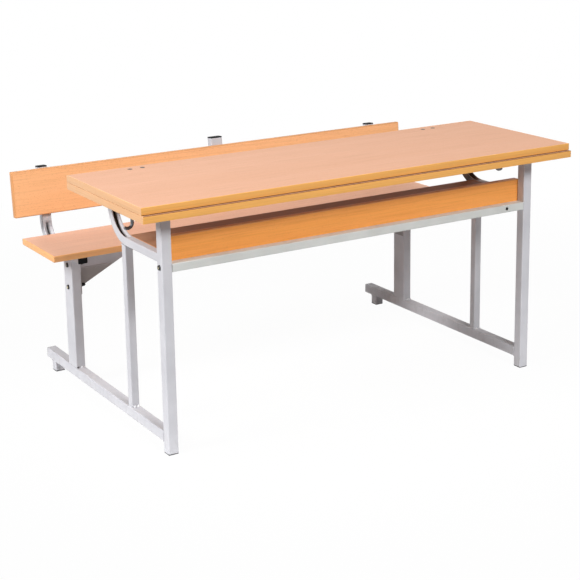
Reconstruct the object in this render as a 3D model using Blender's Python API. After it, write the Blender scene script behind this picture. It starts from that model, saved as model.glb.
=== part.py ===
"""Two-seat school desk with an attached bench.

The desk top is two stacked leaves. The upper one is hinged at its rear edge and folds back over the
bench, where the middle post carries it level with the lower leaf. Two welded side frames of square
tube carry the top, the book compartment and the bench.

Metres, +Z up, the front of the desk towards -Y. Left and right are as seen from the front, with +X to
the right. The origin is on the floor, in the middle of the outline. Pieces are laid out from the upper
leaf's front edge, and the empty "desk_set" moves them all to the origin.
"""
import math

import bmesh
import bpy
from mathutils import Matrix, Vector

# Fits shared by all pieces
GAP = 0.0003                    # between two pieces that touch
HOLE_CLEARANCE = 0.0003         # round a bolt, a rivet or a pin
OVERRUN = 0.003                 # how far a cutter passes the wall that it cuts
WELD_SINK = 0.0007              # how far a welded plate sinks into its tube's wall
SIDES = {"left": -1, "right": 1}

# Boards of the desk top
TOP_HEIGHT = 0.600
LEAF_LENGTH = 1.200
LEAF_DEPTH = 0.400
LEAF_THICKNESS = 0.016
LEAF_GAP = 0.002                # between the stacked leaves
LOWER_LEAF_LIP = 0.008          # the lower leaf's front edge stands out this far
BOARD_EDGE_RADIUS = 0.0012

# Hinges of the upper leaf
HINGE_INSET = 0.167             # from a leaf's end to the hinge's middle
HINGE_LENGTH = 0.064
HINGE_REACH = 0.043             # from the pin to the plate's far edge
HINGE_SHEET = 0.001
HINGE_PLATE_GAP = 0.0008        # between the two plates when the leaf is down
PIN_RADIUS = 0.00125
PIN_HEAD_RADIUS = 0.0019
PIN_HEAD_HEIGHT = 0.001
KNUCKLE_LENGTH = 0.024          # the moving leaf's knuckle, between two of the fixed leaf's
KNUCKLE_CLEARANCE = 0.0004
KNUCKLE_TO_BOARD = 0.0006
ROLL_DEGREES = 270
RIVET_SPACING = 0.033
RIVET_INSET = 0.028             # from the upper leaf's rear edge
RIVET_RADIUS = 0.002
RIVET_HEAD_RADIUS = 0.0045
RIVET_HEAD_HEIGHT = 0.0011

# Side frames
FRAME_INSET = 0.072             # from a leaf's end to a frame's outer face
LEG_SIZE = 0.025
TUBE_SIZE = 0.020
WALL = 0.0012
TUBE_CORNER = 0.002
FRONT_LEG_SETBACK = 0.057       # from the upper leaf's front edge
RAIL_LIFT = 0.0265
RAIL_REAR = 0.774
MIDDLE_LEG_PLACE = 0.262
REAR_FOOT_PLACE = 0.729
BENCH_LEG_PLACE = 0.601
BENCH_LEG_DEPTH = 0.050
BOOK_TUBE_DROP = 0.116          # from the lower leaf to the underside of the compartment's bent tube
BOOK_TUBE_BEND_START = 0.250
BOOK_TUBE_BEND_RADIUS = 0.084   # to the tube's centreline
TOP_PLATE = 0.002               # plates welded on tube ends, screwed to the lower leaf
TOP_PLATE_REACH = 0.024

# The wall that caves in on the inner side of a bend
GROOVE_DEPTH = 0.0085
GROOVE_RIM_RIPPLE = 0.0008      # the rims buckle up and down along the bend
GROOVE_FADE_SHARE = 0.14        # of the bend, at each end
GROOVE_POINT_SHARES = (0.90, 0.50, 0, -0.50, -0.90)     # of the wall's half flat width
GROOVE_RIM_SHARE = 0.96         # where the fold begins
GROOVE_FOLD_POWER = 1.15        # 1 is a plain V

# Front rail, front board and shelf
FRONT_RAIL_DROP = 0.137         # from the lower leaf to the rail's underside
FRONT_RAIL_RISE = 0.020
RAIL_PLATE = 0.003
RAIL_HOLE_INSET = 0.054         # from the leg to the hole in the rail's front
RAIL_HOLE_RADIUS = 0.0045
BOARD_THICKNESS = 0.016
FRONT_BOARD_RISE = 0.0765
SHELF_DEPTH = 0.170
SHELF_TAB = 0.002
SHELF_TAB_WIDTH = 0.025
SHELF_TAB_REACH = 0.024
SHELF_TAB_LIFT = 0.0008         # above the bent tube's underside
SHELF_TAB_INSETS = (0.028, 0.128)   # behind the front board

# Bag hooks
HOOK_PLACE = 0.200
HOOK_INSET = 0.071              # from a leaf's end
HOOK_RADIUS = 0.004
HOOK_SHANK = 0.0495             # straight, from the lower leaf to the bend
HOOK_BEND_RADIUS = 0.0115       # to the rod's centreline
HOOK_BEND_DEGREES = 128
HOOK_FLANGE_RADIUS = 0.008
HOOK_FLANGE = 0.002

# Bench
SEAT_DROP = 0.222               # from the desk top to the seat
SEAT_OVERHANG = 0.003           # past a leaf's end
BACKREST_OVERHANG = 0.007
SEAT_FRONT = 0.502
SEAT_DEPTH = 0.208
BACKREST_LIFT = 0.046           # from the seat to the backrest
BACKREST_RISE = 0.119
BENCH_EDGE_RADIUS = 0.0022
RECLINE_DEGREES = 5.0
POST_DEPTH = 0.022
SIDE_POST_WIDTH = 0.025
MIDDLE_POST_WIDTH = 0.035
POST_FRONT = 0.528
BEND_UNDER_SEAT = 0.005         # the posts' bend starts this far before the seat's rear edge
POST_BEND_RADIUS = 0.059        # to the tube's centreline
SIDE_POST_DROP = 0.018          # from the lower leaf to the cap's top
BEAM_SIZE = 0.020
BEAM_PLACE = 0.607

# Wing brackets under the seat
WING_SHEET = 0.002
WING_REACH = 0.175
WING_DROP = 0.090
WING_TIP = 0.003
WING_SETBACK = 0.013            # web behind the bench leg's middle
WING_CREASE = 0.038             # below the beam
WING_CREASE_SET = 0.0022        # how far the web below the crease leans out
WING_LIP = 0.010
WING_FLANGE_DEPTH = 0.044
WING_FLANGE_DROP = 0.094

# Bolts
BOLT_RADIUS = 0.003
BOLT_HEAD_RADIUS = 0.0058
BOLT_HEAD_HEIGHT = 0.0034
NUT_RADIUS = 0.0058             # to the hexagon's corners
NUT_HEIGHT = 0.005
BOLT_TAIL = 0.003
FRONT_BOLT_LIFT = 0.012         # above the front rail's underside
BENCH_BOLT_DROPS = (0.018, 0.076)  # below the bench leg's top

# Plastic plugs in the tube ends
PLUG_FLANGE = 0.002
POST_CAP_FLANGE = 0.003
PLUG_STEM = 0.012
PLUG_TAPER = 0.001
PLUG_CORNER = 0.002

# Faces round a curve
CORNER_STEPS = 2
J_BEND_STEPS = 12
POST_BEND_STEPS = 9
HOOK_STEPS = 9
HOOK_SIDES = 8
ROUND_SIDES = 18
ROLL_STEPS = 14
BEVEL_SEGMENTS = 2
SMOOTH_ANGLE = math.radians(32)

# Heights and places that follow from the sizes above
UPPER_BOTTOM = TOP_HEIGHT - LEAF_THICKNESS
LOWER_TOP = UPPER_BOTTOM - LEAF_GAP
LOWER_BOTTOM = LOWER_TOP - LEAF_THICKNESS
LEAF_HALF = LEAF_LENGTH / 2
BOOK_TUBE_HEIGHT = LOWER_BOTTOM - BOOK_TUBE_DROP
FRONT_RAIL_HEIGHT = LOWER_BOTTOM - FRONT_RAIL_DROP
FRONT_BOLT_HEIGHT = FRONT_RAIL_HEIGHT + FRONT_BOLT_LIFT
SEAT_HEIGHT = TOP_HEIGHT - SEAT_DROP
BACKREST_BOTTOM = SEAT_HEIGHT + BACKREST_LIFT
SIDE_POST_TOP = LOWER_BOTTOM - SIDE_POST_DROP
HINGE_HEIGHT = UPPER_BOTTOM - LEAF_GAP / 2
BORE_RADIUS = PIN_RADIUS + HOLE_CLEARANCE
KNUCKLE_RADIUS = BORE_RADIUS + HINGE_SHEET
HINGE_SETBACK = KNUCKLE_RADIUS + KNUCKLE_TO_BOARD
HINGE_PLACE = LEAF_DEPTH + HINGE_SETBACK
FRAME_HALF_WIDTH = LEAF_HALF - FRAME_INSET
FRAME_CENTRE = FRAME_HALF_WIDTH - LEG_SIZE / 2
LEG_INNER = FRAME_HALF_WIDTH - LEG_SIZE
TUBE_INNER = FRAME_CENTRE - TUBE_SIZE / 2
LEG_REAR = FRONT_LEG_SETBACK + LEG_SIZE
LEG_MIDDLE = FRONT_LEG_SETBACK + LEG_SIZE / 2
RAIL_TOP = RAIL_LIFT + LEG_SIZE
TUBE_TOP = LOWER_BOTTOM - GAP
SEAT_BOTTOM = SEAT_HEIGHT - BOARD_THICKNESS
POST_BOTTOM = SEAT_BOTTOM - GAP - POST_DEPTH
BENCH_LEG_TOP = POST_BOTTOM - GAP
FRONT_BOARD_REAR = LEG_REAR + GAP + BOARD_THICKNESS
SHELF_FRONT = FRONT_BOARD_REAR + GAP
SHELF_BOTTOM = BOOK_TUBE_HEIGHT + SHELF_TAB_LIFT + SHELF_TAB + GAP
RECLINE = math.radians(RECLINE_DEGREES)
POST_BEND_START = SEAT_FRONT + SEAT_DEPTH - BEND_UNDER_SEAT
POST_BEND = math.pi / 2 - RECLINE
POST_BEND_CENTRE = POST_BOTTOM + POST_DEPTH / 2 + POST_BEND_RADIUS
POST_BEND_END = Vector((
    0,
    POST_BEND_START + POST_BEND_RADIUS * math.sin(POST_BEND),
    POST_BEND_CENTRE - POST_BEND_RADIUS * math.cos(POST_BEND),
))
POST_RISE = Vector((0, math.sin(RECLINE), math.cos(RECLINE)))
POST_BACK = Vector((0, math.cos(RECLINE), -math.sin(RECLINE)))
MIDDLE_POST_TOP = LOWER_BOTTOM - GAP
WEB_PLACE = BENCH_LEG_PLACE + WING_SETBACK


def post_top(height):
    """The middle of a post's cap, on the slanted centreline, where its front edge is at height."""
    rise = (height - POST_BEND_END.z - POST_DEPTH / 2 * abs(POST_BACK.z)) / POST_RISE.z
    return POST_BEND_END + rise * POST_RISE


OUTLINE_FRONT = -LOWER_LEAF_LIP
OUTLINE_REAR = post_top(MIDDLE_POST_TOP).y + POST_DEPTH / 2 * POST_BACK.y
PLACE_SHIFT = Vector((0, -(OUTLINE_FRONT + OUTLINE_REAR) / 2, 0))

X_AXIS = Vector((1, 0, 0))
Y_AXIS = Vector((0, 1, 0))
Z_AXIS = Vector((0, 0, 1))


def clear_scene():
    for item in list(bpy.data.objects):
        bpy.data.objects.remove(item, do_unlink=True)


def make_material(name, colour, roughness, metallic=0.0):
    material = bpy.data.materials.new(name)
    material.use_nodes = True
    shader = material.node_tree.nodes["Principled BSDF"]
    shader.inputs["Base Color"].default_value = (*colour, 1.0)
    shader.inputs["Roughness"].default_value = roughness
    shader.inputs["Metallic"].default_value = metallic
    return material


def paint(name):
    return make_material(name + "_paint", (0.60, 0.60, 0.63), 0.45)


def beech(name):
    return make_material(name + "_laminate", (0.80, 0.50, 0.26), 0.35)


def plastic(name):
    return make_material(name + "_plastic", (0.02, 0.02, 0.022), 0.5)


def zinc(name):
    return make_material(name + "_zinc", (0.62, 0.62, 0.60), 0.35, 1.0)


def finish_object(name, mesh, material, place=(0, 0, 0)):
    """A named object under the desk's empty, at its own place, with round stretches shaded smooth."""
    mesh.shade_smooth()
    mesh.set_sharp_from_angle(angle=SMOOTH_ANGLE)
    mesh.materials.append(material)
    item = bpy.data.objects.new(name, mesh)
    bpy.context.scene.collection.objects.link(item)
    item.location = place
    item.parent = bpy.data.objects["desk_set"]
    return item


def close_mesh(name, shape):
    bmesh.ops.recalc_face_normals(shape, faces=shape.faces)
    mesh = bpy.data.meshes.new(name)
    shape.to_mesh(mesh)
    shape.free()
    return mesh


def bridge(shape, first, second):
    """Quads between two rings of the same count."""
    for i in range(len(first)):
        j = (i + 1) % len(first)
        shape.faces.new((first[i], first[j], second[j], second[i]))


def loft(name, rings):
    """A closed solid through rings of points, with its two end rings filled."""
    shape = bmesh.new()
    loops = [[shape.verts.new(point) for point in ring] for ring in rings]
    for first, second in zip(loops, loops[1:]):
        bridge(shape, first, second)
    shape.faces.new(loops[0])
    shape.faces.new(loops[-1])
    return close_mesh(name, shape)


def block(name, low, high):
    """A box mesh between two corners, and the place of its middle."""
    low, high = Vector(low), Vector(high)
    shape = bmesh.new()
    bmesh.ops.create_cube(shape, size=1)
    bmesh.ops.scale(shape, vec=high - low, verts=shape.verts)
    return close_mesh(name, shape), (low + high) / 2


def add_cutter(name, mesh, place=(0, 0, 0)):
    cutter = bpy.data.objects.new(name, mesh)
    bpy.context.scene.collection.objects.link(cutter)
    cutter.location = place
    cutter.parent = bpy.data.objects["desk_set"]
    cutter.hide_render = True
    cutter.display_type = "WIRE"
    return cutter


def combine(item, other, operation):
    modifier = item.modifiers.new(operation.lower() + "_" + other.name, "BOOLEAN")
    modifier.operation = operation
    modifier.solver = "EXACT"
    modifier.object = other


def weld_block(item, name, low, high):
    """Joins a plate or a tab to a tube that it sinks into."""
    mesh, place = block(name, low, high)
    combine(item, add_cutter(name, mesh, place), "UNION")


def drill(item, name, start, end, radius):
    """A round hole from start to end, with overrun at both."""
    start, end = Vector(start), Vector(end)
    along = (end - start).normalized()
    reach = (end - start).length + 2 * OVERRUN
    mesh = turned(name, ((0, radius), (reach, radius)), along)
    combine(item, add_cutter(name, mesh, start - along * OVERRUN), "DIFFERENCE")


def cut_block(item, name, low, high):
    mesh, place = block(name, low, high)
    combine(item, add_cutter(name, mesh, place), "DIFFERENCE")


def frame_along(axis):
    """Two directions square to an axis."""
    axis = Vector(axis).normalized()
    helper = Z_AXIS if abs(axis.z) < abs(axis.x) + abs(axis.y) else X_AXIS
    across = helper.cross(axis).normalized()
    return across, axis.cross(across)


def hexagon_reach(angle):
    """A hexagon's radius at an angle, as a share of its corner radius."""
    sector = math.pi / 3
    return math.cos(sector / 2) / math.cos((angle % sector) - sector / 2)


def turned(name, profile, axis, hexagons=()):
    """A solid of revolution along an axis through (height, radius) steps. Steps in hexagons are six-sided."""
    across, up = frame_along(axis)
    along = Vector(axis).normalized()
    rings = []
    for step, (height, radius) in enumerate(profile):
        ring = []
        for side in range(ROUND_SIDES):
            angle = 2 * math.pi * side / ROUND_SIDES
            reach = radius * (hexagon_reach(angle) if step in hexagons else 1)
            ring.append(along * height + reach * (math.cos(angle) * across + math.sin(angle) * up))
        rings.append(ring)
    return loft(name, rings)


def tube_section(width, depth, corner, groove=None, ripple=0):
    """Points round a rounded rectangle. A groove folds its +depth side in, and a ripple lowers its rims."""
    half_width, half_depth = width / 2, depth / 2
    flat = half_width - corner
    points = []
    for quarter, (side_x, side_y) in enumerate(((1, 1), (-1, 1), (-1, -1), (1, -1))):
        for step in range(CORNER_STEPS + 1):
            angle = math.pi / 2 * (quarter + step / CORNER_STEPS)
            points.append((
                side_x * flat + corner * math.cos(angle),
                side_y * (half_depth - corner) + corner * math.sin(angle),
            ))
        if quarter == 0 and groove is not None:
            for share in GROOVE_POINT_SHARES:
                fold = (1 - abs(share) / GROOVE_RIM_SHARE) ** GROOVE_FOLD_POWER
                points.append((share * flat, half_depth - groove * fold - ripple * (1 - fold)))
    return points


def tube(name, material, stations, width, depth, place=(0, 0, 0)):
    """A hollow tube with open ends through stations of (point, across, inward, groove, ripple)."""
    shape = bmesh.new()
    skins = []
    for inset in (0, WALL):
        rings = []
        for point, across, inward, groove, ripple in stations:
            section = tube_section(
                width - 2 * inset, depth - 2 * inset, max(TUBE_CORNER - inset, WALL / 2), groove, ripple
            )
            rings.append([shape.verts.new(point + a * across + b * inward) for a, b in section])
        for first, second in zip(rings, rings[1:]):
            bridge(shape, first, second)
        skins.append(rings)
    for end in (0, -1):
        bridge(shape, skins[0][end], skins[1][end])
    return finish_object(name, close_mesh(name, shape), material, place)


def straight_tube(name, material, start, end, across, width, depth):
    """A straight tube. Its width lies along across."""
    start, end = Vector(start), Vector(end)
    inward = (end - start).normalized().cross(across)
    stations = [(Vector(), across, inward, None, 0), (end - start, across, inward, None, 0)]
    return tube(name, material, stations, width, depth, start)


def bent_stations(straight, radius, bend, steps, tail):
    """A run along +Y, a bend up towards +Z and a straight tail, from the run's start."""
    stations = [(Vector(), X_AXIS, Z_AXIS, 0, 0)]
    for step in range(steps + 1):
        share = step / steps
        angle = bend * share
        fade = min(share, 1 - share) / GROOVE_FADE_SHARE
        fullness = math.sin(math.pi / 2 * min(fade, 1)) ** 2
        groove = GROOVE_DEPTH * fullness
        ripple = GROOVE_RIM_RIPPLE * fullness * (step % 2)
        point = Vector((0, straight + radius * math.sin(angle), radius * (1 - math.cos(angle))))
        inward = Vector((0, -math.sin(angle), math.cos(angle)))
        stations.append((point, X_AXIS, inward, groove, ripple))
    point, across, inward = stations[-1][:3]
    along = Vector((0, math.cos(bend), math.sin(bend)))
    stations.append((point + tail * along, across, inward, 0, 0))
    return stations


def plug(name, width, depth, flange, seat, along, across):
    """A plastic plug: a flange as wide as the tube, seated on its end, and a stem inside it."""
    along, across = Vector(along), Vector(across)
    up = along.cross(across)
    stem_width = width - 2 * (WALL + GAP)
    stem_depth = depth - 2 * (WALL + GAP)
    steps = (
        (-flange, width - PLUG_TAPER, depth - PLUG_TAPER),
        (-flange + PLUG_TAPER, width, depth),
        (0, width, depth),
        (0, stem_width, stem_depth),
        (PLUG_STEM - PLUG_TAPER, stem_width, stem_depth),
        (PLUG_STEM, stem_width - 2 * PLUG_TAPER, stem_depth - 2 * PLUG_TAPER),
    )
    rings = []
    for height, ring_width, ring_depth in steps:
        corner = min(PLUG_CORNER, ring_depth / 2 - PLUG_TAPER)
        section = tube_section(ring_width, ring_depth, corner)
        rings.append([along * height + a * across + b * up for a, b in section])
    return finish_object(name, loft(name, rings), plastic(name), seat)


def board(name, low, high, edge_radius):
    """A laminated board with softened edges."""
    mesh, place = block(name, low, high)
    item = finish_object(name, mesh, beech(name), place)
    bevel = item.modifiers.new("edge_band", "BEVEL")
    bevel.width = edge_radius
    bevel.segments = BEVEL_SEGMENTS
    return item


def bolt(name, seat, axis, grip):
    """A domed bolt whose head sits at seat, with a nut beyond its grip. The axis runs from head to nut."""
    dome = BOLT_HEAD_HEIGHT
    nut_seat = grip + GAP
    profile = (
        (-GAP - dome, BOLT_HEAD_RADIUS / 2),
        (-GAP - dome * 3 / 4, BOLT_HEAD_RADIUS * 5 / 6),
        (-GAP - dome / 4, BOLT_HEAD_RADIUS),
        (-GAP, BOLT_HEAD_RADIUS),
        (-GAP, BOLT_RADIUS),
        (nut_seat, BOLT_RADIUS),
        (nut_seat, NUT_RADIUS),
        (nut_seat + NUT_HEIGHT, NUT_RADIUS),
        (nut_seat + NUT_HEIGHT, BOLT_RADIUS),
        (nut_seat + NUT_HEIGHT + BOLT_TAIL, BOLT_RADIUS),
    )
    return finish_object(name, turned(name, profile, axis, hexagons=(6, 7)), zinc(name), seat)


def make_side_frame(side_name, side):
    """Front leg, bottom rail, rear foot, middle leg, bench leg and the bent tube round the compartment."""
    centre, outer, inner = side * FRAME_CENTRE, side * FRAME_HALF_WIDTH, side * LEG_INNER
    leg_bottom = PLUG_FLANGE + GAP
    bolt_hole = BOLT_RADIUS + HOLE_CLEARANCE

    name = "front_leg_" + side_name
    front_leg = straight_tube(
        name, paint(name), (centre, LEG_MIDDLE, leg_bottom), (centre, LEG_MIDDLE, TUBE_TOP - TOP_PLATE / 2),
        X_AXIS, LEG_SIZE, LEG_SIZE,
    )
    near, far = sorted((outer - side * WELD_SINK, inner - side * TOP_PLATE_REACH))
    weld_block(
        front_leg, "top_plate_" + name, (near, FRONT_LEG_SETBACK + WELD_SINK, TUBE_TOP - TOP_PLATE),
        (far, LEG_REAR - WELD_SINK, TUBE_TOP),
    )
    drill(
        front_leg, "bolt_hole_" + name, (outer, LEG_MIDDLE, FRONT_BOLT_HEIGHT),
        (inner, LEG_MIDDLE, FRONT_BOLT_HEIGHT), bolt_hole,
    )
    plug("front_foot_" + side_name, LEG_SIZE, LEG_SIZE, PLUG_FLANGE, (centre, LEG_MIDDLE, PLUG_FLANGE),
         Z_AXIS, X_AXIS)

    name = "bottom_rail_" + side_name
    rail_middle = RAIL_LIFT + LEG_SIZE / 2
    rail_end = RAIL_REAR - PLUG_FLANGE
    straight_tube(
        name, paint(name), (centre, LEG_REAR + GAP, rail_middle), (centre, rail_end, rail_middle),
        X_AXIS, LEG_SIZE, LEG_SIZE,
    )
    plug("rail_plug_" + side_name, LEG_SIZE, LEG_SIZE, PLUG_FLANGE,
         (centre, rail_end + GAP, rail_middle), -Y_AXIS, X_AXIS)

    name = "rear_foot_" + side_name
    straight_tube(
        name, paint(name), (centre, REAR_FOOT_PLACE, leg_bottom), (centre, REAR_FOOT_PLACE, RAIL_LIFT - GAP),
        X_AXIS, LEG_SIZE, LEG_SIZE,
    )
    plug("rear_foot_cap_" + side_name, LEG_SIZE, LEG_SIZE, PLUG_FLANGE,
         (centre, REAR_FOOT_PLACE, PLUG_FLANGE), Z_AXIS, X_AXIS)

    name = "middle_leg_" + side_name
    straight_tube(
        name, paint(name), (centre, MIDDLE_LEG_PLACE, RAIL_TOP + GAP),
        (centre, MIDDLE_LEG_PLACE, BOOK_TUBE_HEIGHT - GAP), X_AXIS, TUBE_SIZE, TUBE_SIZE,
    )

    name = "bench_leg_" + side_name
    bench_leg = straight_tube(
        name, paint(name), (centre, BENCH_LEG_PLACE, RAIL_TOP + GAP),
        (centre, BENCH_LEG_PLACE, BENCH_LEG_TOP), X_AXIS, LEG_SIZE, BENCH_LEG_DEPTH,
    )
    for number, drop in enumerate(BENCH_BOLT_DROPS, 1):
        height = BENCH_LEG_TOP - drop
        drill(bench_leg, f"bolt_hole_{number}_{name}", (outer, BENCH_LEG_PLACE, height),
              (inner, BENCH_LEG_PLACE, height), bolt_hole)
        bolt(f"bench_bolt_{number}_{side_name}", (outer, BENCH_LEG_PLACE, height), -side * X_AXIS,
             LEG_SIZE + GAP + WING_SHEET)

    make_book_tube(side_name, side)


def make_book_tube(side_name, side):
    """The bent tube that frames the compartment's end, with its top plate and the shelf's tabs."""
    name = "book_tube_" + side_name
    centre = side * FRAME_CENTRE
    middle = BOOK_TUBE_HEIGHT + TUBE_SIZE / 2
    start = Vector((centre, LEG_REAR + GAP, middle))
    tail = TUBE_TOP - TOP_PLATE / 2 - middle - BOOK_TUBE_BEND_RADIUS
    stations = bent_stations(
        BOOK_TUBE_BEND_START - start.y, BOOK_TUBE_BEND_RADIUS, math.pi / 2, J_BEND_STEPS, tail
    )
    item = tube(name, paint(name), stations, TUBE_SIZE, TUBE_SIZE, start)
    upright = BOOK_TUBE_BEND_START + BOOK_TUBE_BEND_RADIUS
    inner, outer = side * TUBE_INNER, side * (TUBE_INNER + TUBE_SIZE)
    near, far = sorted((outer - side * WELD_SINK, inner - side * TOP_PLATE_REACH))
    half_depth = TUBE_SIZE / 2 - WELD_SINK
    weld_block(
        item, "top_plate_" + name, (near, upright - half_depth, TUBE_TOP - TOP_PLATE),
        (far, upright + half_depth, TUBE_TOP),
    )
    tab_bottom = BOOK_TUBE_HEIGHT + SHELF_TAB_LIFT
    near, far = sorted((inner + side * WELD_SINK, inner - side * SHELF_TAB_REACH))
    for number, inset in enumerate(SHELF_TAB_INSETS, 1):
        tab_place = SHELF_FRONT + inset
        weld_block(
            item, f"shelf_tab_{number}_{name}",
            (near, tab_place - SHELF_TAB_WIDTH / 2, tab_bottom),
            (far, tab_place + SHELF_TAB_WIDTH / 2, tab_bottom + SHELF_TAB),
        )


def make_front():
    """The front rail between the front legs, its bolts, the front board and the shelf."""
    name = "front_rail"
    end = LEG_INNER - GAP
    middle = FRONT_RAIL_HEIGHT + FRONT_RAIL_RISE / 2
    rail = straight_tube(
        name, paint(name), (-end, LEG_MIDDLE, middle), (end, LEG_MIDDLE, middle), Y_AXIS, LEG_SIZE,
        FRONT_RAIL_RISE,
    )
    bolt_hole = BOLT_RADIUS + HOLE_CLEARANCE
    plate_half_width = LEG_SIZE / 2 - WELD_SINK
    plate_half_rise = FRONT_RAIL_RISE / 2 - WELD_SINK
    for side_name, side in SIDES.items():
        near, far = sorted((side * (end - WELD_SINK), side * (end - WELD_SINK - RAIL_PLATE)))
        weld_block(
            rail, "rail_plate_" + side_name,
            (near, LEG_MIDDLE - plate_half_width, middle - plate_half_rise),
            (far, LEG_MIDDLE + plate_half_width, middle + plate_half_rise),
        )
        drill(
            rail, "rail_bolt_hole_" + side_name, (side * end, LEG_MIDDLE, FRONT_BOLT_HEIGHT),
            (side * (end - WELD_SINK - RAIL_PLATE), LEG_MIDDLE, FRONT_BOLT_HEIGHT), bolt_hole,
        )
        bolt("rail_bolt_" + side_name, (side * FRAME_HALF_WIDTH, LEG_MIDDLE, FRONT_BOLT_HEIGHT),
             -side * X_AXIS, LEG_SIZE + GAP + WELD_SINK + RAIL_PLATE)
    hole_place = LEG_INNER - RAIL_HOLE_INSET
    drill(
        rail, "rail_front_hole", (hole_place, FRONT_LEG_SETBACK, middle),
        (hole_place, FRONT_LEG_SETBACK + WALL, middle), RAIL_HOLE_RADIUS,
    )

    half_length = TUBE_INNER - GAP
    board(
        "front_board", (-half_length, LEG_REAR + GAP, FRONT_RAIL_HEIGHT),
        (half_length, FRONT_BOARD_REAR, FRONT_RAIL_HEIGHT + FRONT_BOARD_RISE), BOARD_EDGE_RADIUS,
    )
    board(
        "book_shelf", (-half_length, SHELF_FRONT, SHELF_BOTTOM),
        (half_length, SHELF_FRONT + SHELF_DEPTH, SHELF_BOTTOM + BOARD_THICKNESS), BOARD_EDGE_RADIUS,
    )


def make_hook(side_name, side):
    """A rod under the lower leaf, bent outward at its foot, on which a bag hangs."""
    name = "bag_hook_" + side_name
    root = (side * (LEAF_HALF - HOOK_INSET), HOOK_PLACE, TUBE_TOP)
    down = -Z_AXIS
    path = [
        (Vector(), HOOK_FLANGE_RADIUS, down),
        (down * HOOK_FLANGE, HOOK_FLANGE_RADIUS, down),
        (down * HOOK_FLANGE, HOOK_RADIUS, down),
    ]
    for step in range(HOOK_STEPS + 1):
        angle = math.radians(HOOK_BEND_DEGREES) * step / HOOK_STEPS
        out = side * HOOK_BEND_RADIUS * (1 - math.cos(angle))
        point = Vector((out, 0, -HOOK_SHANK - HOOK_BEND_RADIUS * math.sin(angle)))
        path.append((point, HOOK_RADIUS, Vector((side * math.sin(angle), 0, -math.cos(angle)))))
    point, _, along = path[-1]
    path.append((point + along * HOOK_RADIUS / 2, HOOK_RADIUS / 2, along))
    rings = []
    for point, ring_radius, along in path:
        square = Y_AXIS.cross(along)
        rings.append([
            point + ring_radius * (math.cos(turn) * Y_AXIS + math.sin(turn) * square)
            for turn in (2 * math.pi * number / HOOK_SIDES for number in range(HOOK_SIDES))
        ])
    finish_object(name, loft(name, rings), zinc(name), root)


def strip_outline(path, thickness):
    """The closed outline of a sheet of a thickness along a flat path."""
    left, right = [], []
    for number, point in enumerate(path):
        before = path[max(number - 1, 0)]
        after = path[min(number + 1, len(path) - 1)]
        first = (point - before) if number else (after - point)
        second = (after - point) if number < len(path) - 1 else (point - before)
        middle = (first.normalized() + second.normalized()).normalized()
        square = Vector((-middle.y, middle.x))
        reach = thickness / 2 / middle.dot(first.normalized())
        left.append(point + reach * square)
        right.append(point - reach * square)
    return left + right[::-1]


def hinge_outline(above):
    """The side view of a hinge leaf as (distance in front of the pin, height): plate, swage and roll."""
    roll_radius = BORE_RADIUS + HINGE_SHEET / 2
    plate = (HINGE_PLATE_GAP + HINGE_SHEET) / 2
    bend = Vector((HINGE_SETBACK, -plate))
    start = math.atan2(bend.y, bend.x) - math.acos(roll_radius / bend.length)
    path = [Vector((HINGE_REACH, -plate)), bend]
    for step in range(ROLL_STEPS + 1):
        angle = start - math.radians(ROLL_DEGREES) * step / ROLL_STEPS
        path.append(roll_radius * Vector((math.cos(angle), math.sin(angle))))
    flip = -1 if above else 1
    return [Vector((point.x, flip * point.y)) for point in strip_outline(path, HINGE_SHEET)]


def hinge_leaf(name, middle, above):
    """A stamped leaf with a rolled knuckle. The one above keeps its middle knuckle, the other its ends."""
    half = HINGE_LENGTH / 2
    outline = hinge_outline(above)
    rings = [[Vector((x, -point.x, point.y)) for point in outline] for x in (-half, half)]
    mesh = loft(name, rings)
    item = finish_object(name, mesh, zinc(name), (middle, HINGE_PLACE, HINGE_HEIGHT))
    low = HINGE_PLACE - HINGE_SETBACK
    high = HINGE_PLACE + KNUCKLE_RADIUS + OVERRUN
    reach = KNUCKLE_RADIUS + OVERRUN
    notch = KNUCKLE_LENGTH / 2
    if above:
        spans = ((-half - OVERRUN, -notch), (notch, half + OVERRUN))
    else:
        spans = ((-notch - KNUCKLE_CLEARANCE, notch + KNUCKLE_CLEARANCE),)
    for number, (first, last) in enumerate(spans, 1):
        cut_block(item, f"notch_{number}_{name}", (middle + first, low, HINGE_HEIGHT - reach),
                  (middle + last, high, HINGE_HEIGHT + reach))
    return item


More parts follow.
